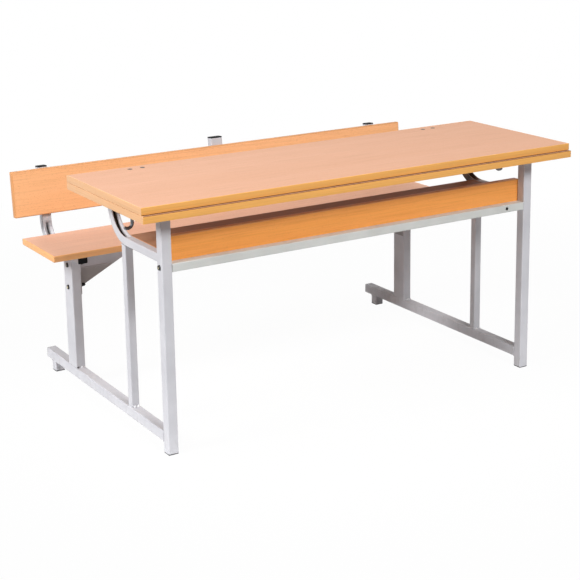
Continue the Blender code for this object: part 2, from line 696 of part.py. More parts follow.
def make_top():
    """The lower leaf, the upper leaf on its hinges, and the rivets that hold them."""
    lower = board("lower_leaf", (-LEAF_HALF, -LOWER_LEAF_LIP, LOWER_BOTTOM),
                  (LEAF_HALF, LEAF_DEPTH, LOWER_TOP), BOARD_EDGE_RADIUS)
    upper = board("upper_leaf", (-LEAF_HALF, 0, UPPER_BOTTOM), (LEAF_HALF, LEAF_DEPTH, TOP_HEIGHT),
                  BOARD_EDGE_RADIUS)

    plate_inner = HINGE_PLATE_GAP / 2
    plate_outer = plate_inner + HINGE_SHEET
    seat = plate_outer + GAP
    seat_half = HINGE_LENGTH / 2 + HOLE_CLEARANCE
    seat_front = HINGE_PLACE - HINGE_REACH - HOLE_CLEARANCE
    seat_rear = LEAF_DEPTH + OVERRUN
    swing = bpy.data.objects.new("upper_leaf_pivot", None)
    bpy.context.scene.collection.objects.link(swing)
    swing.location = (0, HINGE_PLACE, HINGE_HEIGHT)
    swing.parent = bpy.data.objects["desk_set"]
    moving = [upper]

    for side_name, side in SIDES.items():
        middle = side * (LEAF_HALF - HINGE_INSET)
        near, far = middle - seat_half, middle + seat_half
        cut_block(lower, "hinge_seat_lower_" + side_name, (near, seat_front, HINGE_HEIGHT - seat),
                  (far, seat_rear, HINGE_HEIGHT))
        cut_block(upper, "hinge_seat_upper_" + side_name, (near, seat_front, HINGE_HEIGHT),
                  (far, seat_rear, HINGE_HEIGHT + seat))
        hinge_leaf("hinge_fixed_" + side_name, middle, False)
        leaf = hinge_leaf("hinge_moving_" + side_name, middle, True)
        moving.append(leaf)
        make_hinge_pin(side_name, middle)

        for number, offset in enumerate((-RIVET_SPACING / 2, RIVET_SPACING / 2), 1):
            name = f"hinge_rivet_{number}_{side_name}"
            place = (middle + offset, LEAF_DEPTH - RIVET_INSET)
            hole = RIVET_RADIUS + HOLE_CLEARANCE
            head_seat = TOP_HEIGHT - RIVET_HEAD_HEIGHT
            drill(upper, "hole_" + name, (*place, UPPER_BOTTOM), (*place, TOP_HEIGHT), hole)
            drill(leaf, "leaf_hole_" + name, (*place, HINGE_HEIGHT + plate_inner),
                  (*place, HINGE_HEIGHT + plate_outer), hole)
            drill(upper, "counterbore_" + name, (*place, head_seat - GAP + OVERRUN), (*place, TOP_HEIGHT),
                  RIVET_HEAD_RADIUS + HOLE_CLEARANCE)
            foot = HINGE_HEIGHT + plate_inner - head_seat
            profile = (
                (foot, RIVET_RADIUS),
                (0, RIVET_RADIUS),
                (0, RIVET_HEAD_RADIUS),
                (RIVET_HEAD_HEIGHT / 2, RIVET_HEAD_RADIUS),
                (RIVET_HEAD_HEIGHT, RIVET_HEAD_RADIUS - RIVET_HEAD_HEIGHT),
            )
            moving.append(finish_object(name, turned(name, profile, Z_AXIS), zinc(name), (*place, head_seat)))

    for item in moving:
        item.parent = swing
        item.location -= swing.location


def make_hinge_pin(side_name, middle):
    name = "hinge_pin_" + side_name
    half = HINGE_LENGTH / 2 + GAP
    profile = (
        (-half - PIN_HEAD_HEIGHT, PIN_HEAD_RADIUS),
        (-half, PIN_HEAD_RADIUS),
        (-half, PIN_RADIUS),
        (half, PIN_RADIUS),
        (half, PIN_HEAD_RADIUS),
        (half + PIN_HEAD_HEIGHT, PIN_HEAD_RADIUS),
    )
    finish_object(name, turned(name, profile, X_AXIS), zinc(name), (middle, HINGE_PLACE, HINGE_HEIGHT))


def make_post(name, centre, width, top):
    """A bent post: it lies under the seat, bends up behind it and leans back, with a plug at each end."""
    start = Vector((centre, POST_FRONT + PLUG_FLANGE, POST_BOTTOM + POST_DEPTH / 2))
    tail = (post_top(top) - POST_BEND_END).length - POST_CAP_FLANGE - GAP
    stations = bent_stations(
        POST_BEND_START - start.y, POST_BEND_RADIUS, POST_BEND, POST_BEND_STEPS, tail
    )
    tube("post_" + name, paint("post_" + name), stations, width, POST_DEPTH, start)
    plug("post_plug_" + name, width, POST_DEPTH, PLUG_FLANGE - GAP, start - GAP * Y_AXIS, Y_AXIS, X_AXIS)
    cap_seat = post_top(top) - POST_CAP_FLANGE * POST_RISE + centre * X_AXIS
    plug("post_cap_" + name, width, POST_DEPTH, POST_CAP_FLANGE, cap_seat, -POST_RISE, X_AXIS)


def make_bench():
    """Three posts, the beam between them, the seat board and the backrest."""
    make_post("left", -FRAME_CENTRE, SIDE_POST_WIDTH, SIDE_POST_TOP)
    make_post("middle", 0, MIDDLE_POST_WIDTH, MIDDLE_POST_TOP)
    make_post("right", FRAME_CENTRE, SIDE_POST_WIDTH, SIDE_POST_TOP)

    middle = POST_BOTTOM + BEAM_SIZE / 2
    near = MIDDLE_POST_WIDTH / 2 + GAP
    far = FRAME_CENTRE - SIDE_POST_WIDTH / 2 - GAP
    for side_name, side in SIDES.items():
        name = "bench_beam_" + side_name
        straight_tube(
            name, paint(name), (side * near, BEAM_PLACE, middle), (side * far, BEAM_PLACE, middle),
            Y_AXIS, BEAM_SIZE, BEAM_SIZE,
        )

    half = LEAF_HALF + SEAT_OVERHANG
    board("seat", (-half, SEAT_FRONT, SEAT_BOTTOM), (half, SEAT_FRONT + SEAT_DEPTH, SEAT_HEIGHT),
          BENCH_EDGE_RADIUS)
    make_backrest()


def make_backrest():
    """The backrest lies on the posts' slanted fronts, a little off them where their bend begins."""
    front = POST_BEND_END - POST_DEPTH / 2 * POST_BACK
    below = (front.z - BACKREST_BOTTOM) / POST_RISE.z - BENCH_EDGE_RADIUS
    inner_radius = POST_BEND_RADIUS - POST_DEPTH / 2
    bend_takes = inner_radius - math.sqrt(inner_radius ** 2 - max(below, 0) ** 2)
    stand_off = GAP + bend_takes
    along = BACKREST_RISE / POST_RISE.z
    half = LEAF_HALF + BACKREST_OVERHANG
    low = Vector((-half, -BOARD_THICKNESS - stand_off, 0))
    high = Vector((half, -stand_off, along))
    item = board("backrest", low, high, BENCH_EDGE_RADIUS)
    foot = front - (below + BENCH_EDGE_RADIUS) * POST_RISE
    lean = Matrix.Rotation(-RECLINE, 3, "X")
    item.location = foot + lean @ ((low + high) / 2)
    item.rotation_euler = lean.to_euler()


def make_wing(side_name, side):
    """A sheet bracket under the beam: end flange on the bench leg, creased web and a lip on its slope."""
    name = "wing_bracket_" + side_name
    top = POST_BOTTOM - GAP
    root = LEG_INNER - GAP
    slope = (WING_DROP - WING_TIP) / WING_REACH
    crease_reach = (WING_DROP - WING_CREASE) / slope

    def web_point(reach, drop, back):
        lean = WING_CREASE_SET * max(drop - WING_CREASE, 0) / (WING_DROP - WING_CREASE)
        return Vector((side * (root - reach), WEB_PLACE - lean + back, top - drop))

    outline = (
        (WELD_SINK, 0), (WING_REACH, 0), (WING_REACH, WING_TIP), (crease_reach, WING_CREASE),
        (WELD_SINK, WING_DROP - slope * WELD_SINK), (WELD_SINK, WING_CREASE),
    )
    shape = bmesh.new()
    skins = []
    for back in (0, WING_SHEET):
        skins.append([shape.verts.new(web_point(reach, drop, back)) for reach, drop in outline])
        shape.faces.new([skins[-1][number] for number in (0, 1, 2, 3, 5)])
        shape.faces.new([skins[-1][number] for number in (3, 4, 5)])
    bridge(shape, skins[0], skins[1])
    item = finish_object(name, close_mesh(name, shape), paint(name))

    rings = []
    for reach in (WELD_SINK, WING_REACH - WING_SHEET):
        foot = web_point(reach, WING_DROP - slope * reach + WELD_SINK, WING_SHEET / 2)
        back = WING_LIP * Y_AXIS
        up = WING_SHEET * Z_AXIS
        rings.append([foot, foot + back, foot + back + up, foot + up])
    combine(item, add_cutter("lip_" + name, loft("lip_" + name, rings)), "UNION")

    flange_front = BENCH_LEG_PLACE - WING_FLANGE_DEPTH / 2
    near, far = sorted((side * root, side * (root - WING_SHEET)))
    weld_block(
        item, "flange_" + name, (near, flange_front, top - WING_FLANGE_DROP),
        (far, flange_front + WING_FLANGE_DEPTH, top - GAP),
    )
    for number, drop in enumerate(BENCH_BOLT_DROPS, 1):
        height = BENCH_LEG_TOP - drop
        drill(item, f"bolt_hole_{number}_{name}", (side * root, BENCH_LEG_PLACE, height),
              (side * (root - WING_SHEET), BENCH_LEG_PLACE, height), BOLT_RADIUS + HOLE_CLEARANCE)


def main():
    clear_scene()
    desk = bpy.data.objects.new("desk_set", None)
    bpy.context.scene.collection.objects.link(desk)
    desk.location = PLACE_SHIFT
    for side_name, side in SIDES.items():
        make_side_frame(side_name, side)
        make_hook(side_name, side)
        make_wing(side_name, side)
    make_front()
    make_top()
    make_bench()
    bpy.context.view_layer.update()


main()
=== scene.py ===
"""Looks for a two-seat school desk with its bench: painted steel, beech-pattern boards and fittings.

Metres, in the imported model's frame: +Z up, the front of the desk towards -Y, left and right as seen
from the front. A pattern's numbers are its scale, which is about how many spots lie in a metre, its
detail and roughness, and the noise values at which it starts and is full. A wander's are its scale and
detail, and how far the roughness goes down and up.
"""
import math
import random

import bmesh
import bpy
from mathutils import Matrix, Vector


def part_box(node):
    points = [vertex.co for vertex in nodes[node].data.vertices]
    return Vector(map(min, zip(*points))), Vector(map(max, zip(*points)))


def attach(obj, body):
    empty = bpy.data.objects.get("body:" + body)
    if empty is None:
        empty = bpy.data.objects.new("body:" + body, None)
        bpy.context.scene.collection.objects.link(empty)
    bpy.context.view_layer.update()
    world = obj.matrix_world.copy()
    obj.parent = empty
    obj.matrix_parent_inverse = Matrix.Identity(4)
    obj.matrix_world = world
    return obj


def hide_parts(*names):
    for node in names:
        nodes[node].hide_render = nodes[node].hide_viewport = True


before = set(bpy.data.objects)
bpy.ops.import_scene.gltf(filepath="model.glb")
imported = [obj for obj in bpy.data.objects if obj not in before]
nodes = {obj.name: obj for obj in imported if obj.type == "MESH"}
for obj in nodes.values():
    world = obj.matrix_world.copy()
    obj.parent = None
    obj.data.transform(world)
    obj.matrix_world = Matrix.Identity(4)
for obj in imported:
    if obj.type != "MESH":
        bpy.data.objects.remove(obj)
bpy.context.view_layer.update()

# Side frames
# Square steel tube, welded into two frames and sprayed with a light grey powder coat. The coat is a
# little uneven, with a fine orange-peel skin, and scuffed near the floor. The folded bends are darkened
# with painted shade, and so is the inner side of the compartment tubes' bends.
SIDES = {"left": -1, "right": 1}
NOISE_SPAN = (0.3, 0.7)
PAINT_COLOUR = (0.61, 0.61, 0.645)
PAINT_SHADE = (0.55, 0.55, 0.585)
PAINT_CLOUD = (14, 3, 0.5, 0.35, 0.68)
PAINT_GLOSS = 0.22
PAINT_ROUGHNESS = 0.40
PAINT_WANDER = (40, 4, 0.05, 0.08)
SPECKS = (900, 1, 0.5, 0.62, 0.74)
SPECK_COLOUR = (0.74, 0.745, 0.77)
SPECK_STRENGTH = 0.25
SCUFFS = (85, 5, 0.65, 0.54, 0.66)
SCUFF_STRETCH = (1, 1, 0.4)
SCUFF_COLOUR = (0.36, 0.35, 0.34)
SCUFF_STRENGTH = 0.45
SCUFF_HEIGHT = 0.09
PEEL_SCALE = 420
PEEL_DEPTH = 0.00012
FINE_PEEL_SCALE = 2400
FINE_PEEL_DEPTH = 0.00002
FOLD_SHADE_COLOUR = (0.05, 0.048, 0.048)
FOLD_RIM = 0.0036
FOLD_BOTTOM = 0.0074
FOLD_END = 0.0125
FOLD_END_EDGE = 0.001
FOLD_FADE = 0.003
FOLD_WALL_FACING = 0.985
FOLD_WALL_EDGE = 0.002
BOOK_TUBE_FOLD = (-0.1404, 0.5440, 0.074)
INWARD_SHADE_COLOUR = (0.075, 0.06, 0.052)
INWARD_SHADE_FACING = (0.5, 0.6)
INWARD_SHADE_FADE = (-0.01, 0.03)
LOWER_SHADE_EDGE = 0.001
FRAME_TUBES = [
    f"{part}_{side}" for side in SIDES
    for part in ("front_leg", "bottom_rail", "rear_foot", "middle_leg", "bench_leg")
]


def node(tree, kind, inputs=None, **settings):
    """A shader node with its settings and inputs. An input is a value, or the socket that feeds it."""
    made = tree.nodes.new(kind)
    for key, value in settings.items():
        setattr(made, key, value)
    for key, value in (inputs or {}).items():
        if isinstance(value, bpy.types.NodeSocket):
            tree.links.new(value, made.inputs[key])
        else:
            made.inputs[key].default_value = value
    return made


def finish(name, colour, roughness, metallic=0.0):
    """A material with its shader's own values set, and the object's own coordinates in metres."""
    material = bpy.data.materials.new(name)
    material.use_nodes = True
    tree = material.node_tree
    shader = tree.nodes["Principled BSDF"]
    shader.inputs["Base Color"].default_value = (*colour, 1)
    shader.inputs["Roughness"].default_value = roughness
    shader.inputs["Metallic"].default_value = metallic
    place = node(tree, "ShaderNodeTexCoord").outputs["Object"]
    return material, tree, shader, place


def stretched(tree, place, scale):
    """Coordinates scaled apart along X, Y and Z, for grain that runs one way."""
    return node(tree, "ShaderNodeMapping", {"Vector": place, "Scale": scale}).outputs["Vector"]


def noise(tree, place, scale, detail=2.0, roughness=0.5):
    made = node(
        tree, "ShaderNodeTexNoise",
        {"Vector": place, "Scale": scale, "Detail": detail, "Roughness": roughness},
    )
    return made.outputs["Fac"]


def between(tree, value, low, high, to_low=0.0, to_high=1.0):
    """Value moved from one range into another, and held inside it."""
    made = node(tree, "ShaderNodeMapRange", {
        "Value": value, "From Min": low, "From Max": high, "To Min": to_low, "To Max": to_high,
    })
    return made.outputs["Result"]


def pattern(tree, place, scale, detail, roughness, start, full):
    """Noise as a share of the surface: 0 where it is under start, and 1 where it is over full."""
    return between(tree, noise(tree, place, scale, detail, roughness), start, full)


def tint(tree, share, first, second):
    """One colour at a share of 0 and another at 1. Each is a colour or a socket."""
    made = node(tree, "ShaderNodeMix", data_type="RGBA")
    for socket, value in ((0, share), (6, first), (7, second)):
        if isinstance(value, bpy.types.NodeSocket):
            tree.links.new(value, made.inputs[socket])
        else:
            made.inputs[socket].default_value = (*value, 1) if isinstance(value, tuple) else value
    return made.outputs[2]


def maths(tree, operation, *values):
    return node(tree, "ShaderNodeMath", dict(enumerate(values)), operation=operation).outputs[0]


def times(tree, first, second):
    return maths(tree, "MULTIPLY", first, second)


def axis_part(tree, vector, axis):
    """The part of a vector that lies along one axis."""
    return node(tree, "ShaderNodeSeparateXYZ", {0: vector}).outputs[axis]


def facing_x(tree):
    """1 on a face that looks to the right, -1 on one that looks to the left, and 0 square to both."""
    return axis_part(tree, node(tree, "ShaderNodeNewGeometry").outputs["True Normal"], "X")


def bump(tree, shader, height, distance, strength=1.0, under=None):
    inputs = {"Height": height, "Distance": distance, "Strength": strength}
    if under:
        inputs["Normal"] = under
    made = node(tree, "ShaderNodeBump", inputs).outputs["Normal"]
    tree.links.new(made, shader.inputs["Normal"])
    return made


def uneven_roughness(tree, shader, place, roughness, scale, detail, less, more):
    """Roughness that wanders over the surface, from less under its value to more over it."""
    spots = noise(tree, place, scale, detail)
    wandering = between(tree, spots, *NOISE_SPAN, roughness - less, roughness + more)
    tree.links.new(wandering, shader.inputs["Roughness"])


def fold_shade_share(tree, place, fold):
    """Share of painted shade in a fold: 1 at its bottom, 0 outside. A fold is (y, z, inner radius) of the
    bend.
    """
    centre_y, centre_z, inner = fold
    centre = (0, centre_y, centre_z)
    offset = node(tree, "ShaderNodeVectorMath", {0: place, 1: centre}, operation="SUBTRACT").outputs[0]
    flat = node(tree, "ShaderNodeVectorMath", {0: offset, 1: (0, 1, 1)}, operation="MULTIPLY").outputs[0]
    reach = node(tree, "ShaderNodeVectorMath", {0: flat}, operation="LENGTH").outputs["Value"]
    deep = between(tree, reach, inner + FOLD_RIM, inner + FOLD_BOTTOM)
    inside = between(tree, reach, inner + FOLD_END + FOLD_END_EDGE, inner + FOLD_END)
    behind = between(tree, axis_part(tree, offset, "Y"), 0, FOLD_FADE)
    below = between(tree, axis_part(tree, offset, "Z"), 0, -FOLD_FADE)
    sideways = maths(tree, "ABSOLUTE", facing_x(tree))
    not_a_side = between(tree, sideways, FOLD_WALL_FACING + FOLD_WALL_EDGE, FOLD_WALL_FACING)
    return times(tree, times(tree, deep, inside), times(tree, times(tree, behind, below), not_a_side))


def inward_shade_share(tree, place, bend_y, inward):
    """Painted shade: 1 on a bend's faces that look inward along X, and 0 on the others and before the bend.
    """
    looks_inward = between(tree, times(tree, facing_x(tree), inward), *INWARD_SHADE_FACING)
    start, full = INWARD_SHADE_FADE
    in_bend = between(tree, axis_part(tree, place, "Y"), bend_y + start, bend_y + full)
    return times(tree, looks_inward, in_bend)


def powder_coat(name, colour, shade, fold=None, inward=0, painted_shade_below=None):
    """Sprayed and baked paint: uneven by a few per cent, with a fine orange peel and scuffs low down.

    A bent tube has its fold, which gets painted shade, and inward is the sign of the X direction in which
    its side of painted shade looks, or 0 for none. The shade below is the height under which a darker
    colour is painted as shade, and that colour.
    """
    material, tree, shader, place = finish(name, colour, PAINT_ROUGHNESS)
    shader.inputs["Specular IOR Level"].default_value = PAINT_GLOSS
    painted = tint(tree, pattern(tree, place, *PAINT_CLOUD), colour, shade)
    specks = times(tree, pattern(tree, place, *SPECKS), SPECK_STRENGTH)
    painted = tint(tree, specks, painted, SPECK_COLOUR)
    height = axis_part(tree, place, "Z")
    low_down = between(tree, height, SCUFF_HEIGHT, 0)
    scuffs = pattern(tree, stretched(tree, place, SCUFF_STRETCH), *SCUFFS)
    scuffed = times(tree, times(tree, low_down, scuffs), SCUFF_STRENGTH)
    painted = tint(tree, scuffed, painted, SCUFF_COLOUR)
    # Painted shade in the fold of a bent tube.
    if fold:
        painted = tint(tree, fold_shade_share(tree, place, fold), painted, FOLD_SHADE_COLOUR)
    # Painted shade on the side of a bend that looks inward.
    if inward:
        painted = tint(tree, inward_shade_share(tree, place, fold[0], inward), painted, INWARD_SHADE_COLOUR)
    # Painted shade: a darker colour below the given height.
    if painted_shade_below:
        lower_shade_height, lower_shade_colour = painted_shade_below
        lower_shade = between(tree, height, lower_shade_height + LOWER_SHADE_EDGE, lower_shade_height - LOWER_SHADE_EDGE)
        painted = tint(tree, lower_shade, painted, lower_shade_colour)
    tree.links.new(painted, shader.inputs["Base Color"])
    uneven_roughness(tree, shader, place, PAINT_ROUGHNESS, *PAINT_WANDER)
    peel = bump(tree, shader, noise(tree, place, PEEL_SCALE, 2), PEEL_DEPTH)
    bump(tree, shader, noise(tree, place, FINE_PEEL_SCALE, 1), FINE_PEEL_DEPTH, under=peel)
    return material


def dress(names, material):
    """Gives CAD nodes one material."""
    for name in names:
        mesh = nodes[name].data
        mesh.materials.clear()
        mesh.materials.append(material)


frame_paint = powder_coat("frame_powder_coat", PAINT_COLOUR, PAINT_SHADE)
dress(FRAME_TUBES, frame_paint)
for side_name, side in SIDES.items():
    # The compartment tubes get painted shade in their folds and on the inner side of their bends.
    name = "book_tube_" + side_name
    dress([name], powder_coat(name + "_powder_coat", PAINT_COLOUR, PAINT_SHADE, BOOK_TUBE_FOLD, -side))

# Weld beads
# Where one tube meets another, a bead of weld runs round the joint. It was laid in short strokes, so
# it is rippled, and the powder coat lies over it, a little darker where soot stayed beneath.
BEAD_RADIUS = 0.0017
BEAD_STROKE = 0.0023
BEAD_STEP = 0.0008
BEAD_SIDES = 8
BEAD_CORNER = 0.0022
BEAD_FLATNESS = 0.8
STROKE_END = 0.80
STROKE_SWELL = 0.26
STROKE_BLUNTNESS = 0.7
BEAD_WANDER = 0.05
BEAD_WANDER_TURN = 0.37
BEAD_ROUGHNESS = 0.46
SOOT = (160, 4, 0.7, 0.48, 0.7)
SOOT_COLOUR = (0.30, 0.29, 0.29)
SOOT_STRENGTH = 0.5
BRIGHT_SPOTS = (620, 1, 0.5, 0.66, 0.7)
BRIGHT_SPOT_COLOUR = (0.80, 0.80, 0.82)
RIPPLE_SCALE = 520
RIPPLE_DEPTH = 0.0002
SHARP_EDGE = math.radians(35)


def weld_finish():
    material, tree, shader, place = finish("weld_bead_paint", PAINT_SHADE, BEAD_ROUGHNESS)
    soot = times(tree, pattern(tree, place, *SOOT), SOOT_STRENGTH)
    covered = tint(tree, soot, PAINT_SHADE, SOOT_COLOUR)
    spotted = tint(tree, pattern(tree, place, *BRIGHT_SPOTS), covered, BRIGHT_SPOT_COLOUR)
    tree.links.new(spotted, shader.inputs["Base Color"])
    bump(tree, shader, noise(tree, place, RIPPLE_SCALE, 3), RIPPLE_DEPTH)
    return material


def add_piece(name, shape, material, body):
    """A mesh built in place becomes a piece that rides on a body."""
    bmesh.ops.recalc_face_normals(shape, faces=shape.faces)
    mesh = bpy.data.meshes.new(name)
    shape.to_mesh(mesh)
    shape.free()
    mesh.shade_smooth()
    mesh.set_sharp_from_angle(angle=SHARP_EDGE)
    mesh.materials.append(material)
    piece = bpy.data.objects.new(name, mesh)
    bpy.context.scene.collection.objects.link(piece)
    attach(piece, body)
    return piece


def skin(shape, rings, closed=False):
    """Quads between rings of the same count, with the last ring joined to the first or both ends filled."""
    loops = [[shape.verts.new(point) for point in ring] for ring in rings]
    pairs = list(zip(loops, loops[1:]))
    if closed:
        pairs.append((loops[-1], loops[0]))
    for first, second in pairs:
        for i in range(len(first)):
            j = (i + 1) % len(first)
            shape.faces.new((first[i], first[j], second[j], second[i]))
    if not closed:
        shape.faces.new(loops[0][::-1])
        shape.faces.new(loops[-1])


def rounded_path(half_a, half_b, corner, step):
    """Points and outward directions round a rectangle with round corners, a step apart."""
    path = []
    for quarter in range(4):
        turn = math.pi / 2 * quarter
        run = 2 * (half_b if quarter % 2 == 0 else half_a) - 2 * corner
        reach = half_a if quarter % 2 == 0 else half_b
        out = Vector((math.cos(turn), math.sin(turn)))
        along = Vector((-out.y, out.x))
        count = max(round(run / step), 1)
        for number in range(count):
            path.append((out * reach + along * (run * (number / count) - run / 2), out))
        centre = out * (reach - corner) + along * run / 2
        bends = max(round(corner * math.pi / 2 / step), 2)
        for number in range(bends):
            angle = turn + math.pi / 2 * number / bends
            direction = Vector((math.cos(angle), math.sin(angle)))
            path.append((centre + corner * direction, direction))
    return path


def weld_bead(name, centre, a_axis, half_a, b_axis, half_b):
    """A rippled bead round a tube's end. The two axes span the joint, and the bead is centred on it."""
    square = a_axis.cross(b_axis)
    path = rounded_path(half_a, half_b, BEAD_CORNER, BEAD_STEP)
    rings = []
    for number, (point, out) in enumerate(path):
        stroke = (number * BEAD_STEP / BEAD_STROKE) % 1
        swell = STROKE_END + STROKE_SWELL * math.sin(math.pi * stroke) ** STROKE_BLUNTNESS
        swell += BEAD_WANDER * math.sin(number * BEAD_WANDER_TURN)
        radius = BEAD_RADIUS * swell
        place = centre + a_axis * point.x + b_axis * point.y
        outward = a_axis * out.x + b_axis * out.y
        rings.append([
            place + BEAD_FLATNESS * radius * math.cos(turn) * outward + radius * math.sin(turn) * square
            for turn in (2 * math.pi * side / BEAD_SIDES for side in range(BEAD_SIDES))
        ])
    shape = bmesh.new()
    skin(shape, rings, closed=True)
    return add_piece(name, shape, weld_paint, "desk")


weld_paint = weld_finish()
X, Y, Z = Vector((1, 0, 0)), Vector((0, 1, 0)), Vector((0, 0, 1))


def end_bead(node_name, axis, at_end, label):
    """A bead round the low or the high end of a node's box, square to an axis."""
    low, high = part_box(node_name)
    middle, half = (low + high) / 2, (high - low) / 2
    place = middle.copy()
    index = (X, Y, Z).index(axis)
    place[index] = (high if at_end else low)[index]
    a_axis, b_axis = {0: (Y, Z), 1: (Z, X), 2: (X, Y)}[index]
    spans = half[(index + 1) % 3], half[(index + 2) % 3]
    return weld_bead("weld_" + label, place, a_axis, spans[0], b_axis, spans[1])


for side_name in SIDES:
    end_bead("bottom_rail_" + side_name, Y, False, "rail_to_front_leg_" + side_name)
    end_bead("middle_leg_" + side_name, Z, False, "middle_leg_to_rail_" + side_name)
    end_bead("middle_leg_" + side_name, Z, True, "middle_leg_to_book_tube_" + side_name)
    end_bead("bench_leg_" + side_name, Z, False, "bench_leg_to_rail_" + side_name)
    end_bead("bench_leg_" + side_name, Z, True, "bench_leg_to_post_" + side_name)
    end_bead("rear_foot_" + side_name, Z, True, "rear_foot_to_rail_" + side_name)

# The book tube is bent, so its joint on the front leg takes the tube's own section, in line with the
# middle leg
BOOK_TUBE_SIZE = 0.020
for side_name in SIDES:
    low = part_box("book_tube_" + side_name)[0]
    middle_low, middle_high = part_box("middle_leg_" + side_name)
    tube_middle = (middle_low.x + middle_high.x) / 2
    weld_bead(
        "weld_book_tube_to_front_leg_" + side_name,
        Vector((tube_middle, low.y, low.z + BOOK_TUBE_SIZE / 2)),
        Z, BOOK_TUBE_SIZE / 2, X, BOOK_TUBE_SIZE / 2,
    )

# Weld spatter
# Weld metal flew off and stuck on the rail in front of the legs' beads, as small bright drops and a few
# larger lumps. One dark pit stays at the end of the left bench leg's bead.
DROP_COLOUR = (0.92, 0.92, 0.92)
DROP_SHADE = (0.74, 0.74, 0.75)
DROP_COUNT = 8
DROP_RADII = (0.0007, 0.0019)
DROP_MARGIN = 0.004
DROP_STRAY = (0.0005, 0.003)
DROP_LIFT = 0.3
DROP_FLATNESS = 0.8
DENT_DEPTH = 0.12
DENT_TURNS = 1900
LUMP_RADIUS = 0.0027
LUMP_SHARES = {"middle_leg": (0.42, 0.86), "bench_leg": (0.62,)}
LUMP_AHEAD = 0.0008
LUMP_LIFT = 0.0018
PIT_COLOUR = (0.03, 0.028, 0.026)
PIT_SHADE = (0.08, 0.07, 0.065)
PIT_RADIUS = 0.0028
PIT_INSET = 0.0035
PIT_TAIL = Vector((0.0026, 0, 0.0006))
PIT_TAIL_SHARE = 0.6
MOTTLE = (900, 3, 0.5, 0.4, 0.6)
MOTTLE_DENT_SCALE = 1400
MOTTLE_DENT_DEPTH = 0.00008
spatter_order = random.Random(4)


def drops(name, places, material):
    """Flattened, slightly dented drops, each a place and a radius, as one piece."""
    shape = bmesh.new()
    for place, radius in places:
        made = bmesh.ops.create_icosphere(shape, subdivisions=2, radius=radius)
        bmesh.ops.scale(shape, vec=(1, 1, DROP_FLATNESS), verts=made["verts"])
        for vertex in made["verts"]:
            turns = [DENT_TURNS * length + 3 * axis for axis, length in enumerate(vertex.co)]
            vertex.co += DENT_DEPTH * radius * Vector([math.sin(turn) for turn in turns])
        bmesh.ops.translate(shape, vec=place, verts=made["verts"])
    return add_piece(name, shape, material, "desk")


def mottled_metal(name, colour, shade, roughness):
    """Rough metal in two shades, mottled in spots of about a millimetre."""
    material, tree, shader, place = finish(name, colour, roughness)
    mottled = tint(tree, pattern(tree, place, *MOTTLE), colour, shade)
    tree.links.new(mottled, shader.inputs["Base Color"])
    bump(tree, shader, noise(tree, place, MOTTLE_DENT_SCALE, 2), MOTTLE_DENT_DEPTH)
    return material


bright_drops = mottled_metal("weld_spatter", DROP_COLOUR, DROP_SHADE, roughness=0.3)
burnt_pit = mottled_metal("burnt_pit", PIT_COLOUR, PIT_SHADE, roughness=0.7)
for side_name in SIDES:
    for part in ("middle_leg", "bench_leg"):
        low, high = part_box(f"{part}_{side_name}")
        places = []
        for number in range(DROP_COUNT):
            across = spatter_order.uniform(low.x + DROP_MARGIN, high.x)
            ahead = spatter_order.uniform(*DROP_STRAY)
            radius = spatter_order.uniform(*DROP_RADII)
            places.append((Vector((across, low.y - ahead, low.z + DROP_LIFT * radius)), radius))
        for share in LUMP_SHARES[part]:
            across = low.x + share * (high.x - low.x)
            places.append((Vector((across, low.y - LUMP_AHEAD, low.z + LUMP_LIFT)), LUMP_RADIUS))
        drops(f"weld_spatter_{part}_{side_name}", places, bright_drops)
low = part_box("bench_leg_left")[0]
pit = Vector((low.x + PIT_INSET, low.y - LUMP_AHEAD, low.z + LUMP_LIFT))
pit_places = [(pit, PIT_RADIUS), (pit + PIT_TAIL, PIT_TAIL_SHARE * PIT_RADIUS)]
drops("weld_pit_bench_leg_left", pit_places, burnt_pit)

# Plastic plugs
# Every open tube end is closed with a moulded black plug, pressed in, and its flange is the foot or
# the cap. The moulding is finely grained, and a little faded and duller in patches.
PLUG_COLOUR = (0.008, 0.008, 0.009)
PLUG_FADED_COLOUR = (0.018, 0.018, 0.020)
PLUG_FADING = (60, 4, 0.5, 0.4, 0.75)
PLUG_GLOSS = 0.10
PLUG_ROUGHNESS = 0.62
PLUG_WANDER = (130, 3, 0.1, 0.1)
PLUG_GRAIN_SCALE = 1900
PLUG_GRAIN_DEPTH = 0.00005
PLUG_NODES = [
    f"{part}_{side}" for side in SIDES
    for part in ("front_foot", "rear_foot_cap", "rail_plug", "post_plug", "post_cap")
] + ["post_plug_middle", "post_cap_middle"]


def moulded_black():
    material, tree, shader, place = finish("moulded_black_plastic", PLUG_COLOUR, PLUG_ROUGHNESS)
    shader.inputs["Specular IOR Level"].default_value = PLUG_GLOSS
    faded = tint(tree, pattern(tree, place, *PLUG_FADING), PLUG_COLOUR, PLUG_FADED_COLOUR)
    tree.links.new(faded, shader.inputs["Base Color"])
    uneven_roughness(tree, shader, place, PLUG_ROUGHNESS, *PLUG_WANDER)
    bump(tree, shader, noise(tree, place, PLUG_GRAIN_SCALE, 2), PLUG_GRAIN_DEPTH)
    return material


plug_plastic = moulded_black()
dress(PLUG_NODES, plug_plastic)

# Zinc fittings
# The hinges and their pins, the bolts' shanks and nuts and the screws are steel, plated with bright zinc
# in a barrel. The plating is slightly cloudy and bluish, and uneven in its shine.
ZINC_COLOUR = (0.58, 0.59, 0.60)
ZINC_DULLER = 0.72
ZINC_CLOUD = (220, 4, 0.6, 0.35, 0.7)
ZINC_ROUGHNESS = 0.34
ZINC_WANDER = (340, 3, 0.08, 0.1)
ZINC_GRAIN_SCALE = 1500
ZINC_GRAIN_DEPTH = 0.00003
FITTING_NODES = [f"hinge_{part}_{side}" for side in SIDES for part in ("fixed", "moving", "pin")]


def darker(colour, share):
    return tuple(share * channel for channel in colour)


